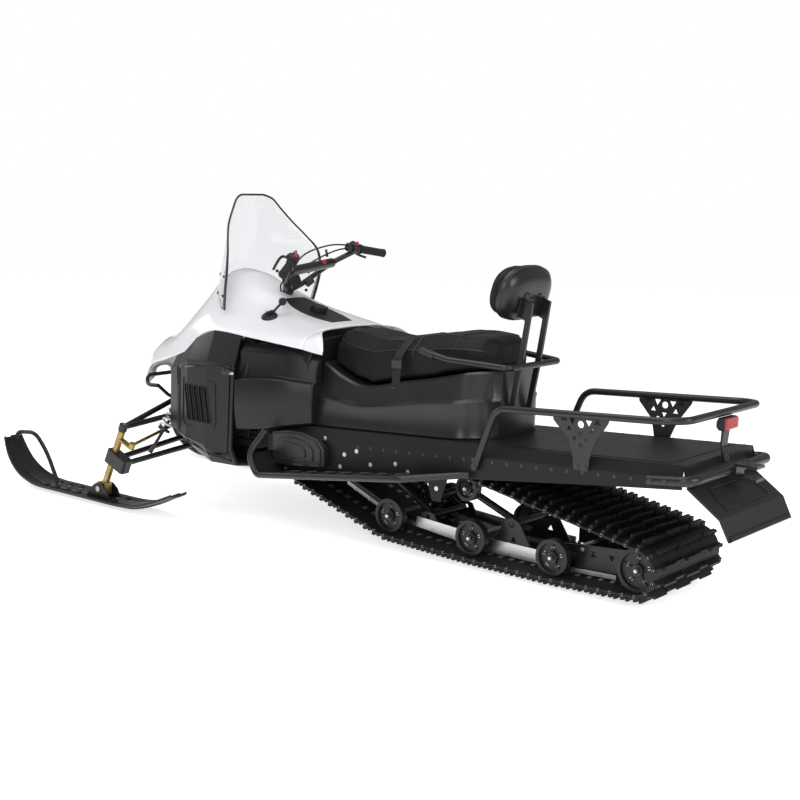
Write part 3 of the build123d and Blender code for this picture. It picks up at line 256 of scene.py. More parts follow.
def prism(outline, y_from, y_to):
    """Upright block with an outline of distance and height, between two places across."""
    count = len(outline)
    points = [at(d, y_from, z) for d, z in outline] + [at(d, y_to, z) for d, z in outline]
    faces = [list(range(count)), list(range(2 * count - 1, count - 1, -1))]
    faces += [[i, i + count, (i + 1) % count + count, (i + 1) % count] for i in range(count)]
    return points, faces


def spots(name, places, sizes):
    """Bare points with the way that each one faces, and the start of a Geometry Nodes tree."""
    mesh = bpy.data.meshes.new(name + "_places")
    mesh.from_pydata([tuple(place) for place, facing in places], [], [])
    facings = mesh.attributes.new("facing", "FLOAT_VECTOR", "POINT")
    for place, (point, facing) in zip(facings.data, places):
        place.vector = facing
    holder = bpy.data.objects.new(name, mesh)
    scene.collection.objects.link(holder)
    tree = bpy.data.node_groups.new(name + "_tree", "GeometryNodeTree")
    tree.interface.new_socket("Places", in_out="INPUT", socket_type="NodeSocketGeometry")
    values = {}
    for title, value in sizes.items():
        made = tree.interface.new_socket(title, in_out="INPUT", socket_type="NodeSocketFloat")
        values[made.identifier] = value
    tree.interface.new_socket("Shapes", in_out="OUTPUT", socket_type="NodeSocketGeometry")
    given = tree.nodes.new("NodeGroupInput")
    return holder, tree, values, [Wire(tree, socket) for socket in given.outputs[:len(sizes) + 1]]


def grown(holder, tree, values, shapes, spread, finish, body, pivot="AUTO"):
    """The shapes on every point as one plain mesh, riding on its body."""
    joined = make_node(tree, "GeometryNodeJoinGeometry")
    for shape in shapes:
        tree.links.new(shape, joined.inputs[0])
    way = make_node(tree, "GeometryNodeInputNamedAttribute", {"data_type": "FLOAT_VECTOR"}, Name="facing")
    turn = make_node(tree, "FunctionNodeAlignEulerToVector", {"axis": "Z", "pivot_axis": pivot},
                     Vector=Wire(tree, way.outputs["Attribute"]))
    put = make_node(tree, "GeometryNodeInstanceOnPoints", None, Instance=Wire(tree, joined.outputs[0]),
                    Rotation=Wire(tree, turn.outputs[0]), **spread)
    real = make_node(tree, "GeometryNodeRealizeInstances", None, Geometry=Wire(tree, put.outputs[0]))
    coated = make_node(tree, "GeometryNodeSetMaterial", None, Geometry=Wire(tree, real.outputs[0]),
                       Material=finish.material)
    tree.links.new(coated.outputs[0], tree.nodes.new("NodeGroupOutput").inputs[0])
    nodes = holder.modifiers.new("pattern", "NODES")
    nodes.node_group = tree
    for identifier, value in values.items():
        nodes[identifier] = value
    bpy.context.view_layer.update()
    mesh = bpy.data.meshes.new_from_object(holder.evaluated_get(bpy.context.evaluated_depsgraph_get()))
    holder.modifiers.remove(nodes)
    holder.data = mesh
    if not mesh.materials:
        mesh.materials.append(finish.material)
    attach(holder, body)
    return holder


def studs(name, finish, body, places, radius, height, sides=6, washer=1.6):
    """Bolt heads or rivets, each with a washer, on points with the way that each one faces."""
    holder, tree, values, (points, head_radius, head_height) = spots(
        name, places, {"Head radius": radius / 1000, "Head height": height / 1000})
    head = make_node(tree, "GeometryNodeMeshCylinder", None, Vertices=sides, Radius=head_radius,
                     Depth=head_height)
    disc = make_node(tree, "GeometryNodeMeshCylinder", None, Vertices=14,
                     Radius=head_radius * washer, Depth=head_height * 0.35)
    return grown(holder, tree, values, [head.outputs["Mesh"], disc.outputs["Mesh"]], {"Points": points},
                 finish, body)


powder_coat = Finish("tunnel_powder_coat", (0.0095, 0.010, 0.0108), 0.46, Specular_IOR_Level=0.2)
powder_coat.feed("Roughness", 0.36 + 0.14 * powder_coat.noise(6.0))
powder_coat.bump(powder_coat.noise(900.0), 0.12, 0.0006)
powder_coat.coat("tunnel")
black_zinc = Finish("black_zinc_bolt", (0.06, 0.06, 0.062), 0.34, 1.0)
black_zinc.feed("Roughness", 0.28 + 0.18 * black_zinc.noise(60.0))
zinc = Finish("zinc_plate", (0.6, 0.6, 0.6), 0.32, 1.0)
zinc.feed("Roughness", 0.26 + 0.2 * zinc.noise(50.0))
zinc.coat("suspension_axles")
side_places, bolt_places = [], []
for sign in (1, -1):
    for step in range(22):
        distance = 60 + step * 62
        side_places.append((at(distance, sign * tunnel_side, 470 - distance * tunnel_drop), (0, sign, 0)))
    for distance, height in (
        (1530, 400), (1300, 330), (1370, 372), (1180, 352), (1120, 330), (985, 290), (1450, 300), (1430, 350),
    ):
        bolt_places.append((at(distance, sign * tunnel_side, height), (0, sign, 0)))
studs("tunnel_bolts", zinc, "chassis", bolt_places, 5.4, 4.4)
studs("tunnel_rivets", black_zinc, "chassis", side_places, 4.2, 4.4)
deck_places = []
for sign in (1, -1):
    for step in range(11):
        distance = 30 + step * 70
        height = deck_height + 0.6 - distance * tunnel_drop
        deck_places.append((at(distance, sign * 254, height), (0.06, 0, 1)))
studs("deck_rivets", black_zinc, "chassis", deck_places, 3.6, 2.6, 10, 1.3)

# Toe housings: ribbed D-shaped covers over the chain case and the drive axle's bearing, one on
# each side of the tunnel above the running boards, pressed from black sheet.
toe_sheet = Finish("toe_housing_sheet", (0.011, 0.0115, 0.012), 0.36, Specular_IOR_Level=0.45)
toe_sheet.bump(toe_sheet.noise(700.0), 0.1, 0.0005)
toe_outline = (
    (1780, 398), (1700, 412), (1622, 414), (1549, 396), (1512, 363), (1505, 322), (1512, 292), (1780, 262),
)
toe_parts = [prism(toe_outline, 285.6, 318)]
middle = (1650, 335)
for ring, (share, depth) in enumerate(((0.9, 324), (0.66, 330), (0.42, 336))):
    ring_outline = [(middle[0] + (d - middle[0]) * share, middle[1] + (z - middle[1]) * share)
                    for d, z in toe_outline]
    toe_parts.append(prism(ring_outline, 317, depth))
piece("toe_housings", toe_sheet, "chassis", both(toe_parts), edge=0.004)

# Track: one endless belt moulded in black rubber, with full-width lugs in blocks, two rows of
# steel clips on its inside and rod ends along its rims.
track_rubber = Finish("track_rubber", (0.0105, 0.0105, 0.011), 0.62, Specular_IOR_Level=0.35)
track_rubber.feed("Roughness", 0.52 + 0.2 * track_rubber.noise(40.0))
track_rubber.bump(track_rubber.noise(500.0), 0.2, 0.0008)
track_rubber.coat("drive_sprockets")
sprocket_radius = 84
track_wheel_places = (
    (178, 125.3, 78), (521, 103.3, 66), (876, 108.3, 66), (1260, 125.3, 66), (1690, 285, sprocket_radius),
    (902, 292, 48),
)


def belt_line(extra, steps=90):
    """Outline that a taut belt takes round the track's wheels, this far outside them."""
    dots = sorted({
        (round(d + (r + extra) * cos(2 * pi * k / steps), 3),
         round(z + (r + extra) * sin(2 * pi * k / steps), 3))
        for d, z, r in track_wheel_places for k in range(steps)
    })
    chains = []
    for line in (dots, list(reversed(dots))):
        chain = []
        for dot in line:
            while len(chain) > 1 and (
                (chain[-1][0] - chain[-2][0]) * (dot[1] - chain[-2][1])
                - (chain[-1][1] - chain[-2][1]) * (dot[0] - chain[-2][0])
            ) <= 0:
                chain.pop()
            chain.append(dot)
        chains.append(chain[:-1])
    return chains[0] + chains[1]


def along(loop, share):
    """Point and forward direction at a share of a closed outline's length."""
    closed = loop + [loop[0]]
    runs = [sqrt((b[0] - a[0]) ** 2 + (b[1] - a[1]) ** 2) for a, b in zip(closed, closed[1:])]
    left = share % 1.0 * sum(runs)
    for (a, b), run in zip(zip(closed, closed[1:]), runs):
        if left <= run:
            part = left / run
            return ((a[0] + part * (b[0] - a[0]), a[1] + part * (b[1] - a[1])),
                    ((b[0] - a[0]) / run, (b[1] - a[1]) / run))
        left -= run
    return closed[0], (1, 0)


outer_loop = belt_line(7.3)
ring_steps = 240
rings = []
for step in range(ring_steps):
    (outer_d, outer_z), heading = along(outer_loop, step / ring_steps)
    out = Vector((heading[1], 0, -heading[0]))
    rings.append([
        at(outer_d - out.x * depth, y, outer_z - out.z * depth)
        for y, depth in ((-250, 0), (-225, 0), (225, 0), (250, 0), (250, 6), (-250, 6))
    ])
belt_points = [point for ring in rings for point in ring]
belt_faces = []
for step in range(ring_steps):
    nearby, ahead_of = step * 6, (step + 1) % ring_steps * 6
    belt_faces += [[nearby + k, nearby + (k + 1) % 6, ahead_of + (k + 1) % 6, ahead_of + k] for k in range(6)]
piece("track_belt", track_rubber, "chassis", [(belt_points, belt_faces)], ("track",),
      crisp=50)


def rows_of_blocks(name, finish, body, places, blocks):
    """The same small group of blocks on many places, by Geometry Nodes."""
    holder, tree, values, (points, scale) = spots(name, places, {"Block scale": 1.0})
    shapes = []
    for (length, width, height), (forward, across, up) in blocks:
        cube = make_node(tree, "GeometryNodeMeshCube", None,
                         Size=(length / 1000, width / 1000, height / 1000))
        moved = make_node(tree, "GeometryNodeTransform", None, Geometry=Wire(tree, cube.outputs["Mesh"]),
                          Translation=(forward / 1000, across / 1000, up / 1000))
        shapes.append(moved.outputs[0])
    return grown(holder, tree, values, shapes, {"Points": points, "Scale": scale}, finish, body, "Y")


lug_count = 76
lug_places = []
clip_places = []
for lug in range(lug_count):
    (lug_d, lug_z), heading = along(outer_loop, (lug + 0.5) / lug_count)
    out = (heading[1], 0, -heading[0])
    lug_places.append((at(lug_d, 0, lug_z), out))
    clip_places.append((at(lug_d - out[0] * 7, 0, lug_z - out[2] * 7), out))
rows_of_blocks("track_lugs", track_rubber, "chassis", lug_places, (
    ((15, 498, 8), (0, 0, 3)),
    ((10, 96, 29), (0, 0, 14.5)),
    ((11, 62, 22), (2, 92, 11)),
    ((11, 62, 22), (2, -92, 11)),
    ((10, 84, 29), (0, 172, 14.5)),
    ((10, 84, 29), (0, -172, 14.5)),
    ((12, 26, 17), (-2, 233, 8.5)),
    ((12, 26, 17), (-2, -233, 8.5)),
    ((22, 14, 6), (0, 132, 4)),
    ((22, 14, 6), (0, -132, 4)),
    ((22, 14, 6), (0, 48, 4)),
    ((22, 14, 6), (0, -48, 4)),
))
clip_steel = Finish("track_clip_steel", (0.55, 0.55, 0.56), 0.36, 1.0)
clip_steel.feed("Roughness", 0.32 + 0.3 * clip_steel.noise(80.0))
rows_of_blocks("track_clips", clip_steel, "chassis", clip_places, (
    ((16, 22, 3), (0, 138, -1)),
    ((16, 22, 3), (0, -138, -1)),
    ((8, 8, 8), (0, 246, 4)),
    ((8, 8, 8), (0, -246, 4)),
))

# Wheels of the track: black moulded wheels with ribbed webs and raised tyres, five zinc bolts in
# each web, and a zinc axle bolt over a black hub.
wheel_plastic = Finish("wheel_moulding", (0.012, 0.0125, 0.013), 0.4, Specular_IOR_Level=0.4)
wheel_plastic.feed("Roughness", 0.34 + 0.2 * wheel_plastic.noise(30.0))
wheel_plastic.coat("track_wheels")


def turned(start, end, profile, sides=28, shut=True):
    """Round body about the line from one point to another, by steps of share and radius."""
    start, end = Vector(start), Vector(end)
    run = end - start
    way = run.normalized()
    first = way.orthogonal().normalized()
    second = way.cross(first)
    points, faces = [], []
    for share, radius in profile:
        for k in range(sides):
            turn = 2 * pi * k / sides
            points.append(start + run * share + (first * cos(turn) + second * sin(turn)) * (radius / 1000))
    for row in range(len(profile) - 1):
        for k in range(sides):
            a, b = row * sides + k, row * sides + (k + 1) % sides
            faces.append([a, b, b + sides, a + sides])
    if shut:
        faces.append(list(range(sides - 1, -1, -1)))
        last = (len(profile) - 1) * sides
        faces.append(list(range(last, last + sides)))
    return points, faces


wheel_bolts = []
hub_parts = []
rib_parts = []
for distance, height, radius in track_wheel_places:
    if radius == sprocket_radius:
        continue
    for sign in (1, -1):
        hub_parts.append(turned(at(distance, sign * 210, height), at(distance, sign * 224, height),
                                ((0, 17), (0.35, 17), (0.36, 12), (0.8, 12), (0.95, 9)), 20))
        wheel_bolts.append((at(distance, sign * 224, height), (0, sign, 0)))
        for k in range(5):
            turn = 2 * pi * k / 5 + 0.3
            reach = radius * 0.55
            place = at(distance + reach * cos(turn), sign * 201.5, height + reach * sin(turn))
            wheel_bolts.append((place, (0, sign, 0)))
            rib = [(distance + cos(turn + s) * r, height + sin(turn + s) * r)
                   for s, r in ((-0.16, 22), (0.16, 22), (0.05, radius - 14), (-0.05, radius - 14))]
            rib_parts.append(prism(rib, sign * 199, sign * 206))
        tyre = ((0, radius - 3), (0.04, radius + 0.2), (0.3, radius + 0.25), (0.34, radius - 2),
                (0.66, radius - 2), (0.7, radius + 0.25), (0.96, radius + 0.2), (1, radius - 3))
        rib_parts.append(turned(at(distance, sign * 180, height), at(distance, sign * 212, height), tyre,
                                40, False))
piece("wheel_ribs_and_tyres", wheel_plastic, "chassis", rib_parts, edge=0.001)
piece("wheel_hubs", black_zinc, "chassis", hub_parts)
studs("wheel_bolts", zinc, "chassis", wheel_bolts, 3.8, 5.0)

# Slide rails: bright extruded runners with a dark web, black gusset plates with triangular
# windows, and towers that carry the rear arm.
bright_alloy = Finish("rail_alloy", (0.66, 0.67, 0.68), 0.3, 1.0)
bright_alloy.feed("Roughness", 0.24 + 0.2 * bright_alloy.noise(70.0))


def strip(line, low, high, y_from, y_to):
    """Bar along a line of distance and height, from so far under it to so far over it."""
    parts = []
    for (d0, z0), (d1, z1) in zip(line, line[1:]):
        parts.append(prism(((d0, z0 + low), (d1, z1 + low), (d1, z1 + high), (d0, z0 + high)), y_from, y_to))
    return parts


def cut_plate(outline, holes, y, thickness):
    """Flat upright plate with windows, both given as outlines of distance and height."""
    sheet = bpy.data.curves.new("plate_outline", "CURVE")
    sheet.dimensions = "2D"
    sheet.fill_mode = "BOTH"
    sheet.extrude = thickness / 2000
    for line in (outline, *holes):
        spline = sheet.splines.new("POLY")
        spline.points.add(len(line) - 1)
        for place, (d, z) in zip(spline.points, line):
            place.co = (d / 1000, z / 1000, 0, 1)
        spline.use_cyclic_u = True
    flat = bpy.data.objects.new("plate_outline", sheet)
    scene.collection.objects.link(flat)
    bpy.context.view_layer.update()
    mesh = bpy.data.meshes.new_from_object(flat.evaluated_get(bpy.context.evaluated_depsgraph_get()))
    points = [Vector((v.co.x - rear_to_middle / 1000, y / 1000 - v.co.z, v.co.y)) for v in mesh.vertices]
    faces = [list(polygon.vertices) for polygon in mesh.polygons]
    bpy.data.objects.remove(flat)
    bpy.data.curves.remove(sheet)
    bpy.data.meshes.remove(mesh)
    return points, faces


def ring_of(distance, height, radius, corners, turn=0.0):
    """Outline of a hole with evenly spaced corners."""
    return [(distance + radius * cos(turn + 2 * pi * k / corners),
             height + radius * sin(turn + 2 * pi * k / corners))
            for k in range(corners)]


runner_line = ((300, 50), (521, 44), (876, 50), (1300, 96), (1536, 192))
rail_parts = strip(runner_line, 0, 14, 112, 132) + strip(runner_line, 12, 17, 108, 134)
rail_parts.append(prism(((625, 58), (625, 98), (862, 102), (862, 62)), 132, 137.5))
rail_parts.append(prism(((905, 66), (905, 106), (1180, 126), (1180, 84)), 132, 137.5))
web_parts = strip(runner_line, 17, 34, 117, 123)
web_parts.append(cut_plate(
    ((609, 84), (609, 138), (500, 146), (264, 166), (166, 148), (166, 102), (275, 72), (475, 64)),
    (ring_of(475, 112, 15, 3, 0.5), ring_of(393, 122, 15, 3, 1.5), ring_of(320, 126, 14, 3, 0.5),
     ring_of(540, 108, 13, 3, 1.5)),
    130, 8,
))
web_parts.append(cut_plate(
    ((1190, 112), (1340, 150), (1510, 216), (1540, 190), (1300, 100)),
    (ring_of(1400, 150, 9, 12), ring_of(1320, 126, 9, 12)),
    128, 6,
))
web_parts.append(cut_plate(
    ((640, 68), (712, 178), (745, 196), (778, 184), (830, 74)),
    (ring_of(745, 168, 9, 14), ring_of(735, 112, 15, 3, 1.6)),
    128, 8,
))
web_parts.append(cut_plate(
    ((1068, 80), (1104, 146), (1130, 152), (1156, 146), (1196, 96)),
    (ring_of(1130, 130, 9, 14),),
    128, 8,
))
piece("rail_runners", bright_alloy, "chassis", both(rail_parts), ("slide_rails",))
black_tube = Finish("black_tube_paint", (0.0085, 0.009, 0.0095), 0.32, Specular_IOR_Level=0.45)
black_tube.feed("Roughness", 0.26 + 0.16 * black_tube.noise(14.0))
black_tube.coat("rear_bumper", "grab_bar", "skid_arms", "running_board_left", "running_board_right",
                "front_frame", "lower_arms", "upper_arms", "backrest_posts", "tow_hitch")
piece("rail_webs", black_tube, "chassis", both(web_parts), edge=0.0008)
rail_bolts = [(at(d, sign * (138 if 625 < d < 1180 else 134.5), z), (0, sign, 0))
              for sign in (1, -1)
              for d, z in ((200, 130), (240, 144), (440, 136), (575, 124), (560, 80), (610, 78), (690, 62),
                           (760, 60), (940, 70), (1020, 78), (1100, 84), (1170, 92), (1350, 122),
                           (1420, 152), (1490, 180))]
studs("rail_bolts", zinc, "chassis", rail_bolts, 5.0, 4.5)


# Damper of the rear suspension: one dark gas damper in a black coil spring, on the middle line
# from the front arm's cross tube down between the rails.
def tube(points, radius, sides=12):
    """Round tube along points in metres, with shut ends."""
    points = [Vector(point) for point in points]
    rings, first = [], None
    for place, point in enumerate(points):
        way = (points[min(place + 1, len(points) - 1)] - points[max(place - 1, 0)]).normalized()
        if first is None:
            first = way.orthogonal().normalized()
        else:
            first = (first - way * first.dot(way)).normalized()
        second = way.cross(first)
        rings.append([
            point + (first * cos(2 * pi * k / sides) + second * sin(2 * pi * k / sides)) * (radius / 1000)
            for k in range(sides)
        ])
    corners = [corner for ring in rings for corner in ring]
    faces = [[row * sides + k, row * sides + (k + 1) % sides, (row + 1) * sides + (k + 1) % sides,
              (row + 1) * sides + k]
             for row in range(len(rings) - 1) for k in range(sides)]
    faces.append(list(range(sides - 1, -1, -1)))
    faces.append(list(range((len(rings) - 1) * sides, len(rings) * sides)))
    return corners, faces


def coil(start, end, radius, wire, turns, steps=18):
    """Coil spring about the line from one point to another."""
    start, end = Vector(start), Vector(end)
    run = end - start
    first = run.normalized().orthogonal().normalized()
    second = run.normalized().cross(first)
    count = int(turns * steps)
    return tube([start + run * (k / count)
                 + (first * cos(2 * pi * k / steps) + second * sin(2 * pi * k / steps)) * (radius / 1000)
                 for k in range(count + 1)], wire, 8)


damper_black = Finish("damper_body_black", (0.015, 0.015, 0.016), 0.28, Specular_IOR_Level=0.5)
damper_black.feed("Roughness", 0.22 + 0.16 * damper_black.noise(30.0))


def damper_and_coil(top, foot, coil_radius, wire, turns, reach=0.9):
    """Two lists of meshes: a damper's body with its eyes, and its coil spring down to a share of it."""
    top, foot = Vector(top), Vector(foot)
    body = [
        turned(top, top.lerp(foot, reach * 0.69),
               ((0, 13), (0.05, 19), (0.08, coil_radius * 0.92), (0.12, coil_radius * 0.92), (0.14, 20),
                (0.98, 20), (1, 17)), 20),
        turned(top.lerp(foot, reach * 0.6), top.lerp(foot, reach + 0.03),
               ((0, 7), (0.84, 7), (0.87, coil_radius * 0.9), (0.97, coil_radius * 0.9), (1, 8)), 20),
        turned(top.lerp(foot, reach), foot, ((0, 7), (0.7, 7), (0.75, 9), (1, 9)), 20),
    ]
    spring = coil(top.lerp(foot, 0.1), top.lerp(foot, reach), coil_radius - wire, wire, turns)
    return body, [spring]


skid_body, skid_spring = damper_and_coil(at(1352, 0, 268), at(1160, 0, 142), 30, 4.5, 7)
piece("skid_damper", damper_black, "chassis", skid_body)
piece("skid_spring", black_tube, "chassis", skid_spring)

# Engine: one casting in dull grey alloy behind the doors, with level cooling fins cast along its
# sides and upright covers between them, bolted to the cradle below.
cast_grey = Finish("cast_grey_alloy", (0.05, 0.05, 0.053), 0.55, 0.7)
cast_grey.feed("Roughness", 0.48 + 0.2 * cast_grey.noise(60.0))
cast_grey.bump(cast_grey.noise(420.0), 0.25, 0.0006)
cast_grey.coat("engine_block")
fin_parts = []
for level in range(312, 570, 22):
    fin_parts.append(prism(((1948, level), (2312, level), (2312, level + 5), (1948, level + 5)), 219, 232))
for cover_from in (1985, 2160):
    fin_parts.append(prism(((cover_from, 330), (cover_from + 100, 330), (cover_from + 100, 540),
                            (cover_from, 540)), 219, 238))
piece("engine_fins", cast_grey, "chassis", both(fin_parts), edge=0.001)

# Body mouldings: black moulded plastic with a fine grain, on the lower cowl, the doors and the
# knee pods. Each pod is a rounded shell with a lip, drawn in above it for the rider's knee.
black_mould = Finish("black_moulding", (0.0075, 0.0078, 0.0084), 0.36, Specular_IOR_Level=0.34)
black_mould.feed("Roughness", 0.3 + 0.14 * black_mould.noise(9.0))
black_mould.bump(black_mould.cells(700.0), 0.12, 0.0005)
black_mould.coat("lower_cowl", "fuel_cap", "access_door_left", "access_door_right")


def smooth_line(points, steps):
    """Catmull-Rom line through the points, with so many steps for each span."""
    made = []
    for place in range(len(points) - 1):
        before = points[max(place - 1, 0)]
        start, end = points[place], points[place + 1]
        after = points[min(place + 2, len(points) - 1)]
        for step in range(steps):
            t = step / steps
            made.append(0.5 * ((2 * start) + (end - before) * t
                               + (2 * before - 5 * start + 4 * end - after) * t * t
                               + (3 * start - before - 3 * end + after) * t * t * t))
    made.append(points[-1])
    return made


def drawn_out(rows, steps):
    """Rows of points with smooth rows put in between, so many for each span."""
    fine = [smooth_line([Vector(point) for point in column], steps) for column in zip(*rows)]
    return [list(row) for row in zip(*fine)]


def skin(rows, along_steps, across_steps):
    """Curved sheet through rows of points, smooth along the rows' order and across them."""
    lines = drawn_out(rows, along_steps)
    if across_steps > 1:
        lines = [smooth_line(line, across_steps) for line in lines]
    width = len(lines[0])
    points = [point for line in lines for point in line]
    faces = [[r * width + k, r * width + k + 1, (r + 1) * width + k + 1, (r + 1) * width + k]
             for r in range(len(lines) - 1) for k in range(width - 1)]
    return points, faces


def lofted(rows, along_steps=1):
    """Closed body through rings of points, with shut ends."""
    rings = drawn_out(rows, along_steps)
    count = len(rings[0])
    points = [point for ring in rings for point in ring]
    faces = [[r * count + k, r * count + (k + 1) % count, (r + 1) * count + (k + 1) % count,
              (r + 1) * count + k]
             for r in range(len(rings) - 1) for k in range(count)]
    faces += [list(range(count - 1, -1, -1)), list(range((len(rings) - 1) * count, len(rings) * count))]
    return points, faces


def on_side(part, sign):
    """The given mesh on the left side, or mirrored to the right one."""
    points, faces = part
    return [Vector((p.x, p.y * sign, p.z)) for p in points], faces


pod_rows = []
for distance, low, z_low, y_low, z_lip, y_lip, y_in, z_top, y_top in (
    (1618, 242, 434, 262, 600, 268, 250, 690, 236),
    (1690, 288, 424, 306, 606, 316, 284, 716, 264),
    (1760, 290, 412, 334, 612, 345, 305, 735, 280),
    (1860, 292, 392, 356, 606, 372, 326, 738, 296),
    (1938, 294, 381, 366, 592, 380, 350, 740, 304),
):
    pod_rows.append([
        at(distance, low, z_low), at(distance, y_low, z_low + 6),
        at(distance, (y_low + y_lip) / 2 + 6, z_low + 90),
        at(distance, y_lip, z_lip - 8), at(distance, y_lip - 4, z_lip), at(distance, y_in + 4, z_lip + 4),
        at(distance, y_in, z_lip + 14), at(distance, y_in - 4, z_top - 30), at(distance, y_top, z_top),
        at(distance, y_top - 26, z_top + 2), at(distance, min(low, y_top) - 28, z_top - 60),
        at(distance, min(low, y_top) - 24, z_low + 40),
    ])
cheek_outline = ((352, 590), (344, 640), (326, 700), (302, 748), (270, 752), (262, 600))
cheek = [[at(distance, y, z) for y, z in cheek_outline] for distance in (1900, 1980)]
for side, sign in (("left", 1), ("right", -1)):
    piece("knee_pod_" + side, black_mould, "chassis",
          [on_side(lofted(pod_rows, 5), sign), on_side(lofted(cheek), sign)],
          ("side_pod_" + side,), 32, 0.006)

# Doors: on each, a raised rim round five leaning louvres with a near-black sheet in them, which is painted
# shade for the dark inside of the vents, a moulding along the door's edge, and a pull latch with zinc ends
# near its top.
# Painted shade: a sheet darker than the other blacks, set in the louvre slots where the vents' inside lies in
# shade.
slot_shade = Finish("louvre_painted_shade", (0.004, 0.004, 0.0042), 0.6, Specular_IOR_Level=0.25)
slot_shade.bump(slot_shade.cells(420.0), 0.6, 0.0012)
body_rear, body_length = 1640, 1100


def door_y(distance, z):
    """How far out the door's skin lies at a place, from the body's outlines."""
    share = (distance - body_rear) / body_length
    rows = ((0.275, 384, 384, 376), (0.410, 344, 392, 380), (0.515, 296, 380, 376), (0.595, 264, 352, 348))
    for rear, front in zip(rows, rows[1:]):
        if share <= front[0]:
            break
    part = min(max((share - rear[0]) / (front[0] - rear[0]), 0), 1)
    low, belt, top = (rear[k] + part * (front[k] - rear[k]) for k in (1, 2, 3))
    if z > 310:
        return belt + (top - belt) * min(max((z - 310) / 330, 0), 1)
    return low + (belt - low) * min(max((z - 240) / 70, 0), 1)


for side, sign in (("left", 1), ("right", -1)):
    slats, slot_shade_parts, rims = [], [], []
    for k in range(5):
        middle = 2080.5 + 30 * k
        top_d, top_z = middle + 15.6, 543.4
        low_d, low_z = middle - 15.6, 396.6
        for edge in (-1, 1):
            line = [(top_d + edge * 9, top_z), (low_d + edge * 9, low_z)]
            slats.append(tube([at(d, sign * (door_y(d, z) + 1), z) for d, z in line], 2.6, 8))
        for d, z in ((top_d, top_z), (low_d, low_z)):
            slats.append(tube([at(d - 9, sign * (door_y(d - 9, z) + 1), z),
                               at(d + 9, sign * (door_y(d + 9, z) + 1), z)], 2.6, 8))
        # The sheet in each slot is painted shade, not a part of the door.
        quad = [at(d, sign * (door_y(d, z) - 2.5), z) for d, z in
                ((top_d - 8.4, top_z), (top_d + 8.4, top_z), (low_d + 8.4, low_z), (low_d - 8.4, low_z))]
        back = [point - Vector((0, sign * 0.003, 0)) for point in quad]
        slot_shade_parts.append((quad + back, [[0, 1, 2, 3], [7, 6, 5, 4], [0, 4, 5, 1], [1, 5, 6, 2],
                                          [2, 6, 7, 3], [3, 7, 4, 0]]))
    outline = ((2274, 596), (2190, 634), (1998, 636), (1970, 628), (1966, 560), (1968, 300), (1985, 266),
               (2105, 276), (2204, 294), (2262, 350), (2274, 596))
    rims.append(tube([at(d, sign * (door_y(d, z) + 0.5), z) for d, z in outline], 3.4, 8))
    surround = ((2236, 566), (2056, 570), (2042, 560), (2030, 392), (2044, 378), (2210, 372), (2234, 392),
                (2236, 566))
    rims.append(tube([at(d, sign * (door_y(d, z) + 0.5), z) for d, z in surround], 3.4, 8))
    piece("louvre_rims_" + side, black_mould, side + "_door", slats)
    piece("louvre_painted_shade_" + side, slot_shade, side + "_door", slot_shade_parts)
    piece("door_edge_" + side, black_mould, side + "_door", rims)
    latch = [turned(at(1990, sign * 378, 618), at(1990, sign * 386, 618), ((0, 13), (0.7, 13), (1, 9)), 20),
             prism(((1998, 632), (1998, 604), (1950, 606), (1950, 626)), sign * 379, sign * 384)]
    piece("latch_ends_" + side, zinc, side + "_door",
          [turned(at(1952, sign * 384, 616), at(1936, sign * 384, 615),
                  ((0, 5.5), (0.8, 5.5), (1, 3.5)), 16)])
    piece("door_latch_" + side, black_zinc, side + "_door", latch, edge=0.001)

# Hood: a one-piece gloss white moulding over the front, rounded between its crown, shoulders and
# nose, with a wing on each side that runs back over the knee pod.
hood_gloss = Finish("white_hood_gloss", (0.72, 0.73, 0.75), 0.16, Coat_Weight=0.5)
hood_gloss.shader.inputs["Coat Roughness"].default_value = 0.06
hood_gloss.feed("Roughness", 0.14 + 0.08 * hood_gloss.noise(5.0))
hood_gloss.bump(hood_gloss.noise(260.0), 0.03, 0.0004)
hood_gloss.coat("hood")
hood_shares = (
    (0.000, (0.76, 0.738), (0.73, 0.772), (0.46, 0.806), (0.20, 0.812)),
    (0.130, (0.82, 0.753), (0.77, 0.783), (0.44, 0.832), (0.20, 0.840)),
    (0.235, (0.84, 0.763), (0.78, 0.793), (0.45, 0.850), (0.20, 0.872)),
    (0.410, (0.84, 0.773), (0.76, 0.803), (0.48, 0.876), (0.20, 0.945)),
    (0.515, (0.81, 0.730), (0.72, 0.810), (0.45, 0.900), (0.18, 0.985)),
    (0.595, (0.77, 0.660), (0.70, 0.770), (0.42, 0.880), (0.16, 0.965)),
    (0.730, (0.69, 0.610), (0.62, 0.680), (0.36, 0.745), (0.14, 0.760)),
    (0.875, (0.54, 0.560), (0.47, 0.625), (0.27, 0.665), (0.11, 0.685)),
    (1.000, (0.27, 0.455), (0.23, 0.525), (0.14, 0.550), (0.06, 0.556)),
)
hood_half_width = 400
hood_rows = []
for share, *places in hood_shares:
    distance = body_rear + share * body_length
    left = [at(distance, y * hood_half_width, z * 1000) for y, z in places]
    hood_rows.append(left + [Vector((p.x, -p.y, p.z)) for p in reversed(left)])
nose = at(body_rear + body_length, 0, 505)
hood_rows.append([point.lerp(nose, 0.55) + Vector((0.012, 0, -0.004)) for point in hood_rows[-1]])
hood_points, hood_faces = skin(hood_rows, 6, 5)
wings = []
for sign in (1, -1):
    wing_rows = []
    for distance, places in (
        (1642, ((304, 738), (292, 772), (240, 796), (184, 805))),
        (1606, ((303, 733), (292, 766), (268, 788), (232, 798))),
        (1572, ((301, 729), (296, 752), (284, 768), (266, 776))),
        (1547, ((299, 727), (298, 733), (295, 738), (292, 741))),
    ):
        wing_rows.append([at(distance, sign * y, z) for y, z in places])
    wings.append(skin(wing_rows, 4, 4))
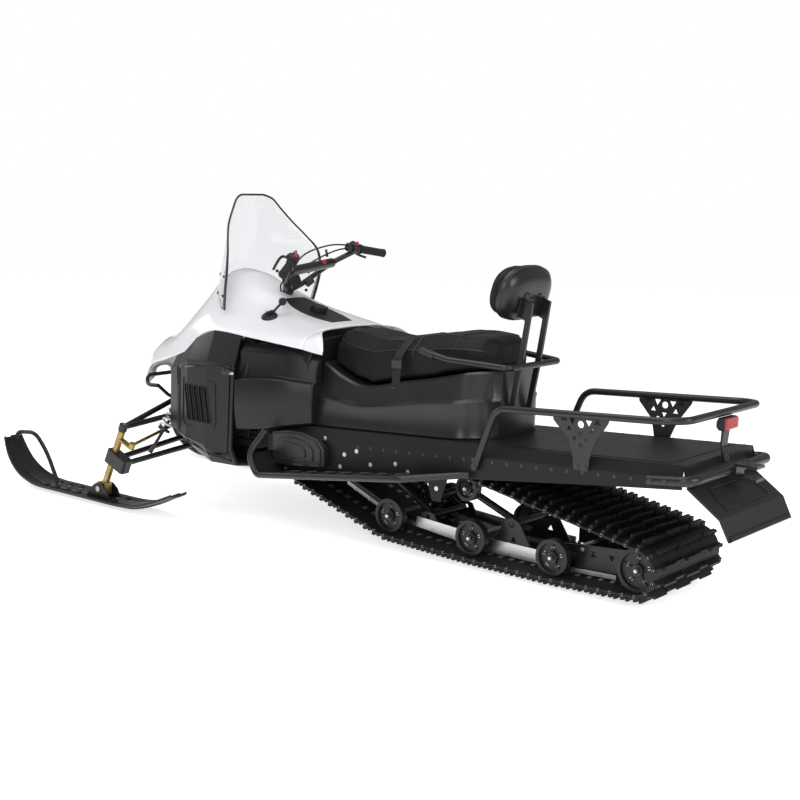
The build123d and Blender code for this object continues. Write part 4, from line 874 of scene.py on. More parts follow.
hood_skin = piece("hood_moulding", hood_gloss, "chassis",
                  [(hood_points, hood_faces), *wings], ("hood",), 60)
wall = hood_skin.modifiers.new("moulded_wall", "SOLIDIFY")
wall.thickness = 0.006
wall.offset = -1

# Fuel tank: one black moulding between the knee pods, ahead of the seat and under the hood's
# rear edge, with rounded shoulders.
tank_rows = []
for distance, half_width, crown in (
    (1643, 262, 772), (1700, 272, 780), (1800, 282, 790), (1900, 288, 800), (1937, 288, 806),
):
    half = [(half_width, 446), (half_width, 690), (half_width - 14, 728), (166, crown), (70, crown + 6)]
    tank_rows.append([at(distance, y, z) for y, z in half] + [at(distance, -y, z) for y, z in reversed(half)])
piece("fuel_tank", black_mould, "chassis", [lofted(tank_rows)], (), 40, 0.004)


# Console: dark inset on the hood's crown with the fuel cap's ribbed grip, and the gear lever's
# gate and boot beside it.
def on_skin(points, faces, distance, y):
    """Highest point of a sheet over a place, and the way that it faces."""
    tree = BVHTree.FromPolygons(points, faces)
    place = at(distance, y, 2000)
    hit, normal, face, reach = tree.ray_cast(place, Vector((0, 0, -1)))
    if hit is None:
        hit, normal, face, reach = tree.find_nearest(at(distance, y, 800))
    return hit, normal if normal.z > 0 else -normal


console_finish = Finish("console_moulding", (0.012, 0.0125, 0.013), 0.5, Specular_IOR_Level=0.35)
console_finish.bump(console_finish.cells(620.0), 0.2, 0.0006)
console_rows = []
for distance, half in ((1700, 62), (1760, 84), (1830, 92), (1905, 84), (1960, 60)):
    row = []
    for y in (-half, -half * 0.6, 0, half * 0.6, half):
        hit, normal = on_skin(hood_points, hood_faces, distance, y)
        row.append(hit + normal * 0.0015)
    console_rows.append(row)
console = piece("fuel_console", console_finish, "chassis",
                [skin(console_rows, 4, 3)], (), 60)
console_wall = console.modifiers.new("moulded_wall", "SOLIDIFY")
console_wall.thickness = 0.004
cap_foot, cap_way = on_skin(hood_points, hood_faces, 1828, 0)
ribs = []
for k in range(18):
    turn = 2 * pi * k / 18
    side_way = Vector((cos(turn), sin(turn), 0))
    ribs.append(tube([cap_foot + side_way * 0.0345 + cap_way * 0.004,
                      cap_foot + side_way * 0.0335 + cap_way * 0.021], 2.4, 6))
ribs.append(turned(cap_foot + cap_way * 0.020, cap_foot + cap_way * 0.027, ((0, 33), (0.6, 31), (1, 24)), 28))
piece("fuel_cap_grip", console_finish, "chassis", ribs)
gate_foot, gate_way = on_skin(hood_points, hood_faces, 1903, 215)
gate = [turned(gate_foot, gate_foot + gate_way * 0.012, ((0, 34), (0.5, 32), (1, 25)), 26),
        turned(gate_foot + gate_way * 0.01, at(1892, 203, 862),
               ((0, 20), (0.2, 12), (0.3, 15), (0.45, 10), (0.6, 12), (1, 6)), 18),
        turned(at(1870, 184, 893), at(1862, 176, 908), ((0, 9), (0.3, 16), (0.7, 16), (1, 9)), 18)]
piece("gear_gate_and_boot", console_finish, "chassis", gate)
black_mould.coat("gear_lever")

# Windshield: clear curved sheet with a black rubber bead round its free edge, held by screws
# with washers along its foot.
clear_sheet = Finish("windshield_sheet", (0.86, 0.87, 0.89), 0.03, Transmission_Weight=1.0, IOR=1.3)
clear_sheet.feed("Roughness", 0.02 + 0.03 * clear_sheet.noise(8.0))
bead_rubber = Finish("windshield_bead", (0.008, 0.008, 0.0085), 0.45)
bead_rubber.bump(bead_rubber.noise(300.0), 0.1, 0.0005)
shield_rear, shield_depth, shield_half_width = 2068, 275, 290
shield_foot, shield_height = 850, 466
shield_rows = []
edge_line = []
for share_z, half_share, edge_share, centre_share in (
    (0.00, 0.94, 0.12, 1.00), (0.17, 0.985, 0.06, 0.93), (0.33, 1.00, 0.02, 0.86), (0.50, 0.96, 0.05, 0.78),
    (0.63, 0.83, 0.19, 0.73), (0.75, 0.68, 0.33, 0.68), (0.88, 0.50, 0.43, 0.625), (0.96, 0.385, 0.48, 0.59),
    (0.995, 0.25, 0.53, 0.573),
):
    edge = shield_rear + edge_share * shield_depth
    centre = shield_rear + centre_share * shield_depth
    half, height = half_share * shield_half_width, shield_foot + share_z * shield_height
    edge_line.append(at(edge, half, height))
    shield_rows.append([at(edge + (centre - edge) * (1 - share ** 2), half * share, height)
                        for share in (-1, -0.85, -0.65, -0.4, -0.15, 0.15, 0.4, 0.65, 0.85, 1)])
sheet_points, sheet_faces = skin(shield_rows, 4, 2)
sheet_tree = BVHTree.FromPolygons(sheet_points, sheet_faces)
shield = piece("windshield_sheet", clear_sheet, "chassis", [(sheet_points, sheet_faces)],
               ("windshield",), 80)
sheet_wall = shield.modifiers.new("sheet_wall", "SOLIDIFY")
sheet_wall.thickness = 0.003
crown = [at(shield_rear + (0.575 - 0.04 * abs(y) / 60) * shield_depth, y, 1315) for y in (46, 0, -46)]
bead_line = edge_line + crown + [Vector((p.x, -p.y, p.z)) for p in reversed(edge_line)]
piece("windshield_bead", bead_rubber, "chassis", [tube(smooth_line(bead_line, 5), 4.2, 10)])
screw_places = []
for d, half, z, centre in ((2080, 288, 905, 2325), (2072, 290, 985, 2308)):
    for share in (-0.9, -0.6, -0.3, 0.3, 0.6, 0.9):
        spot, way, _, _ = sheet_tree.find_nearest(at(d + (centre - d) * (1 - share ** 2), half * share, z))
        way = way if way.x > 0 else -way
        screw_places.append((spot + way * 0.0022, way))
        screw_places.append((spot - way * 0.0022, -way))
studs("windshield_screws", black_zinc, "chassis", screw_places, 4.4, 3.0, 12)

# Seat base: glossy black fairing on the deck, drawn in to a wedge at its side crease. It is one
# moulding, smooth along its length, with a turned-out foot where it meets the deck.
base_gloss = Finish("seat_base_moulding", (0.0088, 0.0092, 0.0098), 0.3, Specular_IOR_Level=0.45)
base_gloss.feed("Roughness", 0.24 + 0.14 * base_gloss.noise(7.0))
base_gloss.bump(base_gloss.noise(500.0), 0.06, 0.0004)
base_rear, base_length, base_half_width, base_height = 830, 806, 240, 270
base_rows = []
for share, low_y, crease_y, crease_z, top_y, top_z in (
    (0.000, 0.50, 0.52, 0.52, 0.46, 0.93),
    (0.030, 0.70, 0.71, 0.52, 0.62, 0.93),
    (0.085, 0.84, 0.85, 0.52, 0.75, 0.93),
    (0.160, 0.98, 0.99, 0.50, 0.86, 0.90),
    (0.340, 1.00, 1.00, 0.46, 0.84, 0.80),
    (0.495, 1.00, 0.99, 0.40, 0.84, 0.735),
    (0.705, 1.00, 0.98, 0.34, 0.84, 0.63),
    (0.860, 1.00, 0.98, 0.40, 0.80, 0.74),
    (1.000, 1.00, 0.98, 0.45, 0.72, 0.93),
):
    distance = base_rear + share * base_length
    foot = deck_height - distance * tunnel_drop + 0.4
    low, crease, top = low_y * base_half_width, crease_y * base_half_width, top_y * base_half_width
    crease_up, top_up = foot + crease_z * base_height, foot + top_z * base_height
    half = [(low, foot), (low + 3, foot + 7), (low_y * (base_half_width - 2), foot + 16),
            (crease - 6, crease_up - 16), (crease, crease_up), (crease - 14, crease_up + 12),
            (top + 6, top_up - 8), (top - 6, top_up)]
    base_rows.append([at(distance, y, z) for y, z in half] + [at(distance, -y, z) for y, z in reversed(half)])
piece("seat_fairing", base_gloss, "chassis", [lofted(base_rows, 6)], ("seat_base",), 30)

# Seat cushion: foam for two under black coated fabric, swelled by a pressure simulation, with
# piped seams along its sides, a cross seam between the places and a hold-on strap.
vinyl = Finish("seat_vinyl", (0.007, 0.0072, 0.0077), 0.52, Specular_IOR_Level=0.16)
vinyl.feed("Roughness", 0.44 + 0.16 * vinyl.noise(12.0))
vinyl.bump(vinyl.cells(380.0) * 0.7 + vinyl.noise(90.0) * 0.3, 0.22, 0.0009)
vinyl.feed("Base Color", vinyl.ramp(vinyl.noise(7.0), (0.3, (0.0055, 0.0057, 0.0062)),
                                    (0.7, (0.009, 0.0092, 0.0097))))


def swelled(name, parts, voxel, pressure, most):
    """Foam shape from a starting body: remeshed, then blown out as cloth no further than a cap."""
    start = bmesh.new()
    for points, faces in parts:
        corners = [start.verts.new(point) for point in points]
        for face in faces:
            start.faces.new([corners[place] for place in face])
    bmesh.ops.recalc_face_normals(start, faces=start.faces)
    mesh = bpy.data.meshes.new(name)
    start.to_mesh(mesh)
    start.free()
    item = bpy.data.objects.new(name, mesh)
    scene.collection.objects.link(item)
    remesh = item.modifiers.new("even_faces", "REMESH")
    remesh.mode = "VOXEL"
    remesh.voxel_size = voxel
    relax = item.modifiers.new("soft_corners", "SMOOTH")
    relax.factor = 0.6
    relax.iterations = 6
    bpy.context.view_layer.update()
    even = bpy.data.meshes.new_from_object(item.evaluated_get(bpy.context.evaluated_depsgraph_get()))
    item.modifiers.clear()
    item.data = even
    before = [v.co.copy() for v in even.vertices]
    cloth = item.modifiers.new("foam_pressure", "CLOTH")
    cloth.settings.use_pressure = True
    cloth.settings.uniform_pressure_force = pressure
    cloth.settings.effector_weights.gravity = 0
    cloth.settings.tension_stiffness = 25
    cloth.settings.compression_stiffness = 25
    for count in range(1, 21):
        scene.frame_set(count)
    blown = bpy.data.meshes.new_from_object(item.evaluated_get(bpy.context.evaluated_depsgraph_get()))
    item.modifiers.remove(cloth)
    swell = bmesh.new()
    swell.from_mesh(even)
    for vertex, first, last in zip(swell.verts, before, blown.vertices):
        shift = last.co - first
        vertex.co = shift * min(1.0, most / max(shift.length, 1e-9))
    for smoothing in range(18):
        bmesh.ops.smooth_vert(swell, verts=swell.verts, factor=0.5, use_axis_x=True, use_axis_y=True,
                              use_axis_z=True)
    for vertex, first, moved in zip(even.vertices, before, swell.verts):
        vertex.co = first + moved.co
    swell.free()
    scene.frame_set(1)
    even.shade_smooth()
    return item


cushion_half_width, cushion_height = 184, 190
cushion_rows = []
for distance, low_y, crease_y, crease_z, top_y, top_z, floor_z in (
    (862, 0.62, 0.62, 0.30, 0.46, 0.50, 0.93), (905, 0.86, 0.85, 0.34, 0.64, 0.57, 0.93),
    (965, 0.95, 0.95, 0.38, 0.72, 0.62, 0.905), (1040, 0.97, 0.99, 0.44, 0.74, 0.70, 0.865),
    (1104, 0.97, 1.00, 0.52, 0.74, 0.79, 0.80), (1165, 0.96, 0.99, 0.55, 0.72, 0.80, 0.765),
    (1229, 0.96, 0.99, 0.58, 0.68, 0.77, 0.735), (1330, 0.96, 0.96, 0.62, 0.60, 0.80, 0.68),
    (1398, 0.95, 0.93, 0.64, 0.56, 0.86, 0.63), (1500, 0.90, 0.86, 0.58, 0.48, 0.84, 0.72),
    (1600, 0.80, 0.74, 0.40, 0.40, 0.68, 0.88), (1626, 0.74, 0.68, 0.34, 0.36, 0.60, 0.93),
):
    base = deck_height - distance * tunnel_drop + floor_z * base_height + 6
    half = [(low_y * (cushion_half_width - 4), base),
            (crease_y * cushion_half_width, base + crease_z * cushion_height),
            (top_y * cushion_half_width, base + top_z * cushion_height)]
    cushion_rows.append([at(distance, y, z) for y, z in half]
                        + [at(distance, -y, z) for y, z in reversed(half)])
cushion = swelled("seat_cushion_cover", [lofted(cushion_rows)], 0.008, 3.0, 0.008)
cushion.data.materials.append(vinyl.material)
finer = cushion.modifiers.new("fine_fabric", "SUBSURF")
finer.levels = finer.render_levels = 1
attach(cushion, "chassis")
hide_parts("seat_cushion")
cushion_skin = BVHTree.FromPolygons([v.co for v in cushion.data.vertices],
                                    [list(f.vertices) for f in cushion.data.polygons])


def sewn(tree, points, radius, sink=0.35):
    """Piping that lies along a soft surface, part sunk into it."""
    line = []
    for point in smooth_line([Vector(p) for p in points], 6):
        hit, normal, face, reach = tree.find_nearest(point)
        line.append(hit + normal * (radius / 1000 * (1 - 2 * sink)))
    return tube(line, radius, 8)


seams = []
for sign in (1, -1):
    seams.append(sewn(cushion_skin, [at(d, sign * y, z) for d, y, z in (
        (880, 130, 795), (960, 178, 808), (1060, 188, 800), (1150, 188, 785), (1260, 186, 776),
        (1360, 180, 765), (1460, 168, 762), (1560, 148, 775), (1618, 128, 800))], 2.6))
    seams.append(sewn(cushion_skin, [at(d, sign * y, z) for d, y, z in (
        (900, 118, 860), (980, 136, 862), (1080, 142, 862), (1160, 138, 850), (1240, 128, 815),
        (1340, 112, 800), (1450, 96, 806), (1560, 78, 812))], 2.2))
seams.append(sewn(cushion_skin, [at(1198, y, z) for y, z in (
    (186, 745), (182, 780), (150, 820), (80, 850), (0, 860), (-80, 850), (-150, 820), (-182, 780),
    (-186, 745))], 2.4))
seams.append(sewn(cushion_skin, [at(1010, y, z) for y, z in (
    (184, 800), (150, 845), (80, 862), (0, 866), (-80, 862), (-150, 845), (-184, 800))], 1.8))
piece("seat_piping", bead_rubber, "chassis", seams)
webbing = Finish("strap_webbing", (0.010, 0.010, 0.0105), 0.6, Specular_IOR_Level=0.3)
weave = webbing.make("ShaderNodeTexWave", {"bands_direction": "DIAGONAL"}, Vector=webbing.place,
                     Scale=420.0)
webbing.bump(Wire(webbing.tree, weave.outputs["Fac"]), 0.5, 0.0008)
strap_line = []
for y, z in (
    (206, 612), (204, 660), (200, 700), (196, 740), (188, 778), (168, 815), (120, 846), (60, 856), (0, 858),
    (-60, 856), (-120, 846), (-168, 815), (-188, 778), (-196, 740), (-200, 700), (-204, 660), (-206, 612),
):
    if abs(y) < 192:
        hit, normal, face, reach = cushion_skin.find_nearest(at(1252, y, z + 6))
        strap_line.append(hit + normal * 0.0035)
    else:
        strap_line.append(at(1252, y, z))
strap_line = smooth_line(strap_line, 4)
strap_rows = []
for place, point in enumerate(strap_line):
    way = (strap_line[min(place + 1, len(strap_line) - 1)] - strap_line[max(place - 1, 0)]).normalized()
    out = Vector((1, 0, 0)).cross(way).normalized()
    if out.z < 0 and abs(point.y) < 0.15 or out.y * point.y < 0 and abs(point.y) >= 0.15:
        out = -out
    strap_rows.append([point + Vector((x, 0, 0)) + out * up
                       for x, up in ((-0.019, 0), (-0.019, 0.0025), (0.019, 0.0025), (0.019, 0))])
piece("seat_strap", webbing, "chassis", [lofted(strap_rows)], edge=0.0006)
buckles = []
for sign in (1, -1):
    buckles.append(prism(((1228, 700), (1276, 700), (1276, 732), (1228, 732)), sign * 201, sign * 208))
    buckles.append(prism(((1226, 604), (1278, 604), (1270, 628), (1234, 628)), sign * 204, sign * 211))
piece("strap_buckles", black_zinc, "chassis", buckles, edge=0.0015)

# Backrest: a rounded hard shell with a belt seam and two adjusting knobs behind, and a padded
# cushion before it, on two flat posts that are bolted to a bracket.
shell_moulding = Finish("backrest_moulding", (0.009, 0.0094, 0.010), 0.3, Specular_IOR_Level=0.45)
shell_moulding.feed("Roughness", 0.26 + 0.12 * shell_moulding.noise(10.0))
shell_moulding.bump(shell_moulding.cells(560.0), 0.15, 0.0006)
lean = radians(14)
pad_out = Vector((cos(lean), 0, sin(lean)))
pad_up = Vector((-sin(lean), 0, cos(lean)))
pad_middle = at(832, 0, 1015)


def oval(depth, half_width, half_height, power=2.6, count=40):
    """Rounded ring in the backrest's plane, this far before its back."""
    ring = []
    for k in range(count):
        c, s = cos(2 * pi * k / count), sin(2 * pi * k / count)
        y = half_width * abs(c) ** (2 / power) * (1 if c >= 0 else -1)
        z = half_height * abs(s) ** (2 / power) * (1 if s >= 0 else -1)
        ring.append(pad_middle + pad_out * (depth / 1000) + Vector((0, y / 1000, 0)) + pad_up * (z / 1000))
    return ring


shell_rings = [oval(depth, w, h) for depth, w, h in (
    (-48, 66, 34), (-46, 96, 52), (-40, 122, 72), (-28, 144, 90), (-14, 156, 101), (-2, 161, 105),
    (6, 161, 105), (6, 150, 96))]
piece("backrest_moulding", shell_moulding, "chassis", [lofted(shell_rings, 3)],
      ("backrest_shell",), 40)
seam_ring = oval(-13, 157.5, 102)
trim_parts = [tube(seam_ring + [seam_ring[0]], 2.0, 8)]
for y, depth, profile, sides in (
    (0.045, 0.056, ((0, 19), (0.5, 19), (0.8, 16), (1, 10)), 26),
    (-0.045, 0.053, ((0, 12), (0.8, 11), (1, 8)), 22),
):
    knob = pad_middle + Vector((0, y, 0))
    trim_parts.append(turned(knob - pad_out * 0.046, knob - pad_out * depth, profile, sides))
piece("backrest_trim", bead_rubber, "chassis", trim_parts)
pad_rings = [oval(depth, w, h, 2.8, 36) for depth, w, h in (
    (8, 140, 88), (8, 154, 98), (24, 157, 101), (44, 148, 94), (54, 122, 74), (56, 80, 46))]
backrest = swelled("backrest_cover", [lofted(pad_rings)], 0.006, 3.5, 0.007)
backrest.data.materials.append(vinyl.material)
pad_fine = backrest.modifiers.new("fine_fabric", "SUBSURF")
pad_fine.levels = pad_fine.render_levels = 1
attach(backrest, "chassis")
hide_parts("backrest_pad")
pad_skin = BVHTree.FromPolygons([v.co for v in backrest.data.vertices],
                                [list(f.vertices) for f in backrest.data.polygons])
pad_seam = [point + pad_out * 0.012 for point in oval(40, 128, 80, 2.6, 36)]
piece("backrest_piping", bead_rubber, "chassis",
      [sewn(pad_skin, pad_seam + [pad_seam[0]], 2.2)])
post_bolts = [(at(d, sign * 66.5, z), (0, sign, 0))
              for sign in (1, -1)
              for d, z in ((814, 600), (808, 640), (786, 760), (776, 840), (768, 900), (790, 955),
                           (772, 985))]
studs("post_bolts", black_zinc, "chassis", post_bolts, 4.6, 3.5)

# Grab bar's sleeves: ribbed rubber grips on both ends of the bar beside the passenger's place.
# They are moulded in one piece with their ribs and pushed on.
sleeves = [turned(at(1062, sign * 222, 770), at(1126, sign * 222, 784),
                  ((0, 12.5), (0.02, 15), (0.97, 15), (1, 13)), 20)
           for sign in (1, -1)]
for sign in (1, -1):
    for k in range(7):
        d, z = 1068 + k * 9, 771.3 + k * 2
        sleeves.append(turned(at(d, sign * 222, z), at(d + 4, sign * 222, z + 0.9),
                              ((0, 15), (0.5, 16.2), (1, 15)), 20))
piece("grab_bar_sleeves", bead_rubber, "chassis", sleeves)


# Cargo rail: one bent black tube over the deck, with perforated wedge plates welded to its sides
# and bolted to the tunnel.
def rounded(points, bends):
    """Path along straight runs with its corners eased by so much, in millimetres."""
    points = [Vector(point) for point in points]
    path = [points[0]]
    for before, corner, after, bend in zip(points, points[1:], points[2:], bends):
        reach = min(bend / 1000, (corner - before).length * 0.46, (after - corner).length * 0.46)
        start = corner + (before - corner).normalized() * reach
        end = corner + (after - corner).normalized() * reach
        for step in range(9):
            t = step / 8
            path.append(start.lerp(corner, t).lerp(corner.lerp(end, t), t))
    path.append(points[-1])
    return path


rail_points = [at(812, 298, 392), at(724, 307, 628), at(60, 307, 672), at(-6, 262, 678),
               at(-6, -262, 678), at(60, -307, 672), at(724, -307, 628), at(812, -298, 392)]
rail_line = rounded(rail_points, (48, 30, 26, 26, 30, 48))
rail_parts = [tube(rail_line, 13, 16)]
plate_windows = []
for d, z, radius, corners, turn in (
    (310, 632, 17, 3, 1.57), (345, 628, 15, 3, -1.57), (408, 628, 15, 3, -1.57), (443, 632, 17, 3, 1.57),
    (376, 618, 13, 10, 0), (330, 598, 12, 3, 1.57), (422, 598, 12, 3, 1.57), (376, 584, 12, 3, -1.57),
    (352, 566, 8, 10, 0), (400, 566, 8, 10, 0), (376, 545, 8, 10, 0),
):
    plate_windows.append(ring_of(d, z, radius, corners, turn))
plate_outline = (
    (266, 648), (487, 634), (484, 620), (424, 560), (408, 500), (404, 456), (346, 456), (342, 500),
    (320, 560), (270, 634),
)
points, faces = cut_plate(plate_outline, plate_windows, 0, 4)
wedge = [Vector((p.x, p.y + (0.2895 + max(0, (p.z - 0.475)) / 0.165 * 0.0175), p.z)) for p in points]
rail_parts += both([(wedge, faces)])
piece("cargo_rail_tube", black_tube, "chassis", rail_parts, ("cargo_rail",))
plate_bolts = [(at(d, sign * 292.5, 468), (0, sign, 0)) for sign in (1, -1) for d in (358, 392)]
plate_bolts += [(at(806, sign * 311, z), (0, sign, 0)) for sign in (1, -1) for z in (408, 428)]
studs("cargo_rail_bolts", black_zinc, "chassis", plate_bolts, 6.0, 5.0)

# Tail lamp: red ribbed lens in a black housing, on an arm that drops to the bumper. The lens is given a faint
# painted glow, which stands in for light that its reflector throws back.
red_lens = Finish("red_lens", (0.3, 0.003, 0.006), 0.18, Coat_Weight=0.4)
# Painted glow: a faint red emission stands in for the reflector's thrown-back light; it is not a lit lamp.
red_lens.shader.inputs["Emission Color"].default_value = (1, 0.02, 0.03, 1)
red_lens.shader.inputs["Emission Strength"].default_value = 0.08
red_lens.bump(red_lens.cells(260.0), 0.5, 0.0012)
lamp_parts = [prism(((-37, 625), (-37, 659), (-33, 662), (-28, 662), (-28, 622), (-33, 622)), -45, 45)]
for k in range(6):
    z = 628 + k * 6
    lamp_parts.append(prism(((-39, z), (-36, z), (-36, z + 3), (-39, z + 3)), -43, 43))
piece("lamp_lens", red_lens, "chassis", lamp_parts, ("tail_lamp",), edge=0.0012)
housing = [prism(((-29, 619), (-29, 664), (-6, 664), (2, 650), (2, 630), (-8, 619)), -48, 48),
           prism(((-12, 560), (-6, 560), (-8, 622), (-18, 622)), -26, 26),
           prism(((-30, 508), (-14, 508), (-6, 562), (-14, 562)), -20, 20)]
piece("lamp_housing", black_mould, "chassis", housing, edge=0.003)

# Snow flap: black rubber sheet with a raised bare panel and a folded lip. A bolted clamping bar
# holds its upper edge and a second bar its lower one.
flap_rubber = Finish("flap_rubber", (0.012, 0.012, 0.0125), 0.55, Specular_IOR_Level=0.35)
flap_rubber.feed("Roughness", 0.46 + 0.2 * flap_rubber.noise(22.0))
flap_rubber.bump(flap_rubber.noise(420.0), 0.25, 0.0008)
flap_rubber.coat("snow_flap")
clamp = [prism(((-10, 470), (-16, 454), (-10, 450), (-4, 468)), -246, 246)]
clamp.append(prism(((-167, 312), (-174, 300), (-170, 295), (-163, 308)), -236, 236))
piece("flap_bars", black_tube, "chassis", clamp, edge=0.001)
flap_bolts = [(at(-14, y, 460), (-0.9, 0, 0.4)) for y in (-220, -132, -44, 44, 132, 220)]
studs("flap_bolts", black_zinc, "chassis", flap_bolts, 5.5, 4.5)
panel_points = []
for across, up in ((-170, 0.18), (170, 0.18), (150, 0.82), (-150, 0.82)):
    d, z = -133 + (-15 + 133) * up, 368 + (452 - 368) * up
    panel_points.append(at(d, across, z) + Vector((-0.0016, 0, 0.0022)))
panel_edge = rounded(panel_points + [panel_points[0], panel_points[1]], (16, 16, 16, 16))
piece("flap_panel_rim", flap_rubber, "chassis", [tube(panel_edge, 2.0, 8)])

# Skis: black moulded runners with raised side wings, a central keel with a steel wear bar, a
# curled tip with a loop handle, and ears with a through bolt at the spindle's foot.
ski_moulding = Finish("ski_moulding", (0.0088, 0.009, 0.0095), 0.34, Specular_IOR_Level=0.3)
ski_moulding.feed("Roughness", 0.26 + 0.18 * ski_moulding.noise(9.0))
ski_moulding.bump(ski_moulding.noise(320.0), 0.08, 0.0005)
wear_steel = Finish("wear_bar_steel", (0.4, 0.4, 0.41), 0.36, 1.0)
wear_steel.feed("Roughness", 0.3 + 0.25 * wear_steel.noise(90.0))
ski_middle = 500
ski_rows = []
for d, low, thick, half, keel in (
    (2120, 98, 8, 46, 2), (2200, 60, 11, 58, 6), (2272, 31, 14, 68, 10), (2352, 9, 18, 74, 14),
    (2430, 1, 20, 74.5, 15), (2600, 1, 20, 74.5, 16), (2780, 1, 20, 74.5, 16), (2930, 2, 20, 74, 15),
    (3000, 14, 20, 72, 13), (3070, 36, 20, 68, 11), (3128, 76, 17, 62, 8), (3168, 126, 14, 56, 5),
    (3196, 186, 10, 47, 2),
):
    lean_out = 0.0 if d < 3000 else (d - 3000) / 200
    row = []
    trough, wing = low + thick + 1, low + thick + 8
    for y, z in (
        (-half, wing), (-half, low + thick - 2), (-half * 0.8, low + keel * 0.9),
        (-half * 0.36, low + keel * 0.8), (-half * 0.28, low), (half * 0.28, low),
        (half * 0.36, low + keel * 0.8), (half * 0.8, low + keel * 0.9), (half, low + thick - 2),
        (half, wing), (half * 0.9, wing), (half * 0.82, trough), (half * 0.3, trough),
        (half * 0.22, wing), (-half * 0.22, wing), (-half * 0.3, trough), (-half * 0.82, trough),
        (-half * 0.9, wing),
    ):
        row.append(at(d - lean_out * (z - low) * 0.7, ski_middle + y, z))
    ski_rows.append(row)
ski_body = lofted(ski_rows, 4)
loop_line = rounded([at(d, ski_middle, z)
                     for d, z in ((2870, 24), (2950, 160), (3030, 236), (3150, 222), (3172, 170))],
                    (60, 42, 42))
ears = []
for offset in (-33, 25):
    ears.append(prism(((2500, 20), (2522, 62), (2552, 84), (2592, 84), (2622, 62), (2650, 20)),
                      ski_middle + offset, ski_middle + offset + 8))
for rib_d in (2460, 2690, 2760, 2830, 2900):
    ears.append(prism(((rib_d, 21), (rib_d + 8, 29), (rib_d + 26, 29), (rib_d + 34, 21)),
                      ski_middle - 54, ski_middle + 54))
ski_parts = [ski_body, tube(loop_line, 9, 14), *ears]
bar_line = [at(d, ski_middle, z) for d, z in ((2330, 16), (2400, 5), (2440, 4.2), (2900, 4.4), (2960, 8))]
for side, sign in (("left", 1), ("right", -1)):
    piece("ski_moulding_" + side, ski_moulding, side + "_ski",
          [on_side(part, sign) for part in ski_parts], ("ski_" + side,), 32, 0.0012)
    metal = [tube([Vector((p.x, p.y * sign, p.z)) for p in bar_line], 4, 8),
             turned(at(2572, sign * (ski_middle - 37), 62), at(2572, sign * (ski_middle + 37), 62),
                    ((0, 12), (0.07, 12), (0.08, 8), (0.92, 8), (0.93, 12), (1, 12)), 18)]
    piece("ski_wear_bar_" + side, wear_steel, side + "_ski", metal)
    ski_bolts = [(at(d, sign * ski_middle, z), (0, 0, 1)) for d, z in (
        (2486, 31), (2664, 31), (2724, 31), (2795, 31), (2865, 31), (2400, 29))]
    studs("ski_bolts_" + side, wear_steel, side + "_ski", ski_bolts, 5.5, 4.5)

# Front suspension: spindles and tie rods in yellow zinc with dark joints, pale springs round dark
# dampers, and bolts through the arms' pivots.
yellow_zinc = Finish("yellow_zinc_plate", (0.4, 0.29, 0.1), 0.34, 1.0)
yellow_zinc.feed("Roughness", 0.3 + 0.24 * yellow_zinc.noise(45.0))
yellow_zinc.feed("Base Color", yellow_zinc.ramp(yellow_zinc.noise(18.0), (0.3, (0.32, 0.22, 0.07)),
                                                (0.7, (0.46, 0.35, 0.14))))
yellow_zinc.coat("spindle_left", "spindle_right", "tie_rod_left", "tie_rod_right")
spring_paint = Finish("spring_paint", (0.62, 0.62, 0.61), 0.32)
spring_paint.feed("Roughness", 0.26 + 0.2 * spring_paint.noise(40.0))
front_body, front_spring = [], []
for sign in (1, -1):
    body, spring = damper_and_coil(at(2386, sign * 190, 486), at(2430, sign * 372, 217.2), 31, 4.5, 7, 0.64)
    front_body += body
    front_spring += spring
piece("front_damper_bodies", damper_black, "chassis", front_body, ("front_dampers",))
piece("front_springs", spring_paint, "chassis", front_spring)
pivot_bolts = [(at(d, sign * 116, z), (0, sign, 0)) for sign in (1, -1)
               for d, z in ((2560, 405), (2472, 365), (2500, 245), (2385, 238), (2530, 330), (2420, 500),
                            (2555, 300))]
sunk_bolts = [(place - Vector((0, 0.011 * facing[1], 0)), facing) for place, facing in pivot_bolts]
studs("front_frame_bolts", zinc, "chassis", sunk_bolts, 6.0, 5.0)

# Front hoop: a black tube bent round ahead of the hood's nose, with a stay on each side down to
# the front frame.
hook = [tube(rounded([at(2576, 190, 470), at(2640, 196, 467), at(2690, 150, 500), at(2690, -150, 500),
                      at(2640, -196, 467), at(2576, -190, 470)], (30, 50, 50, 30)), 9, 12),
        tube([at(2576, 190, 470), at(2560, 150, 430), at(2540, 104, 400)], 8, 10),
        tube([at(2576, -190, 470), at(2560, -150, 430), at(2540, -104, 400)], 8, 10)]
piece("front_bumper_hoop", black_tube, "chassis", hook)

# Headlamps: two clear domed lenses, each in a black rim that is let into the hood's nose. The lens colour
# holds bright cells fading to dark, a painted reflection of the reflector behind the glass.
lamp_glass = Finish("headlamp_glass", (0.9, 0.92, 0.94), 0.04, Coat_Weight=1.0)
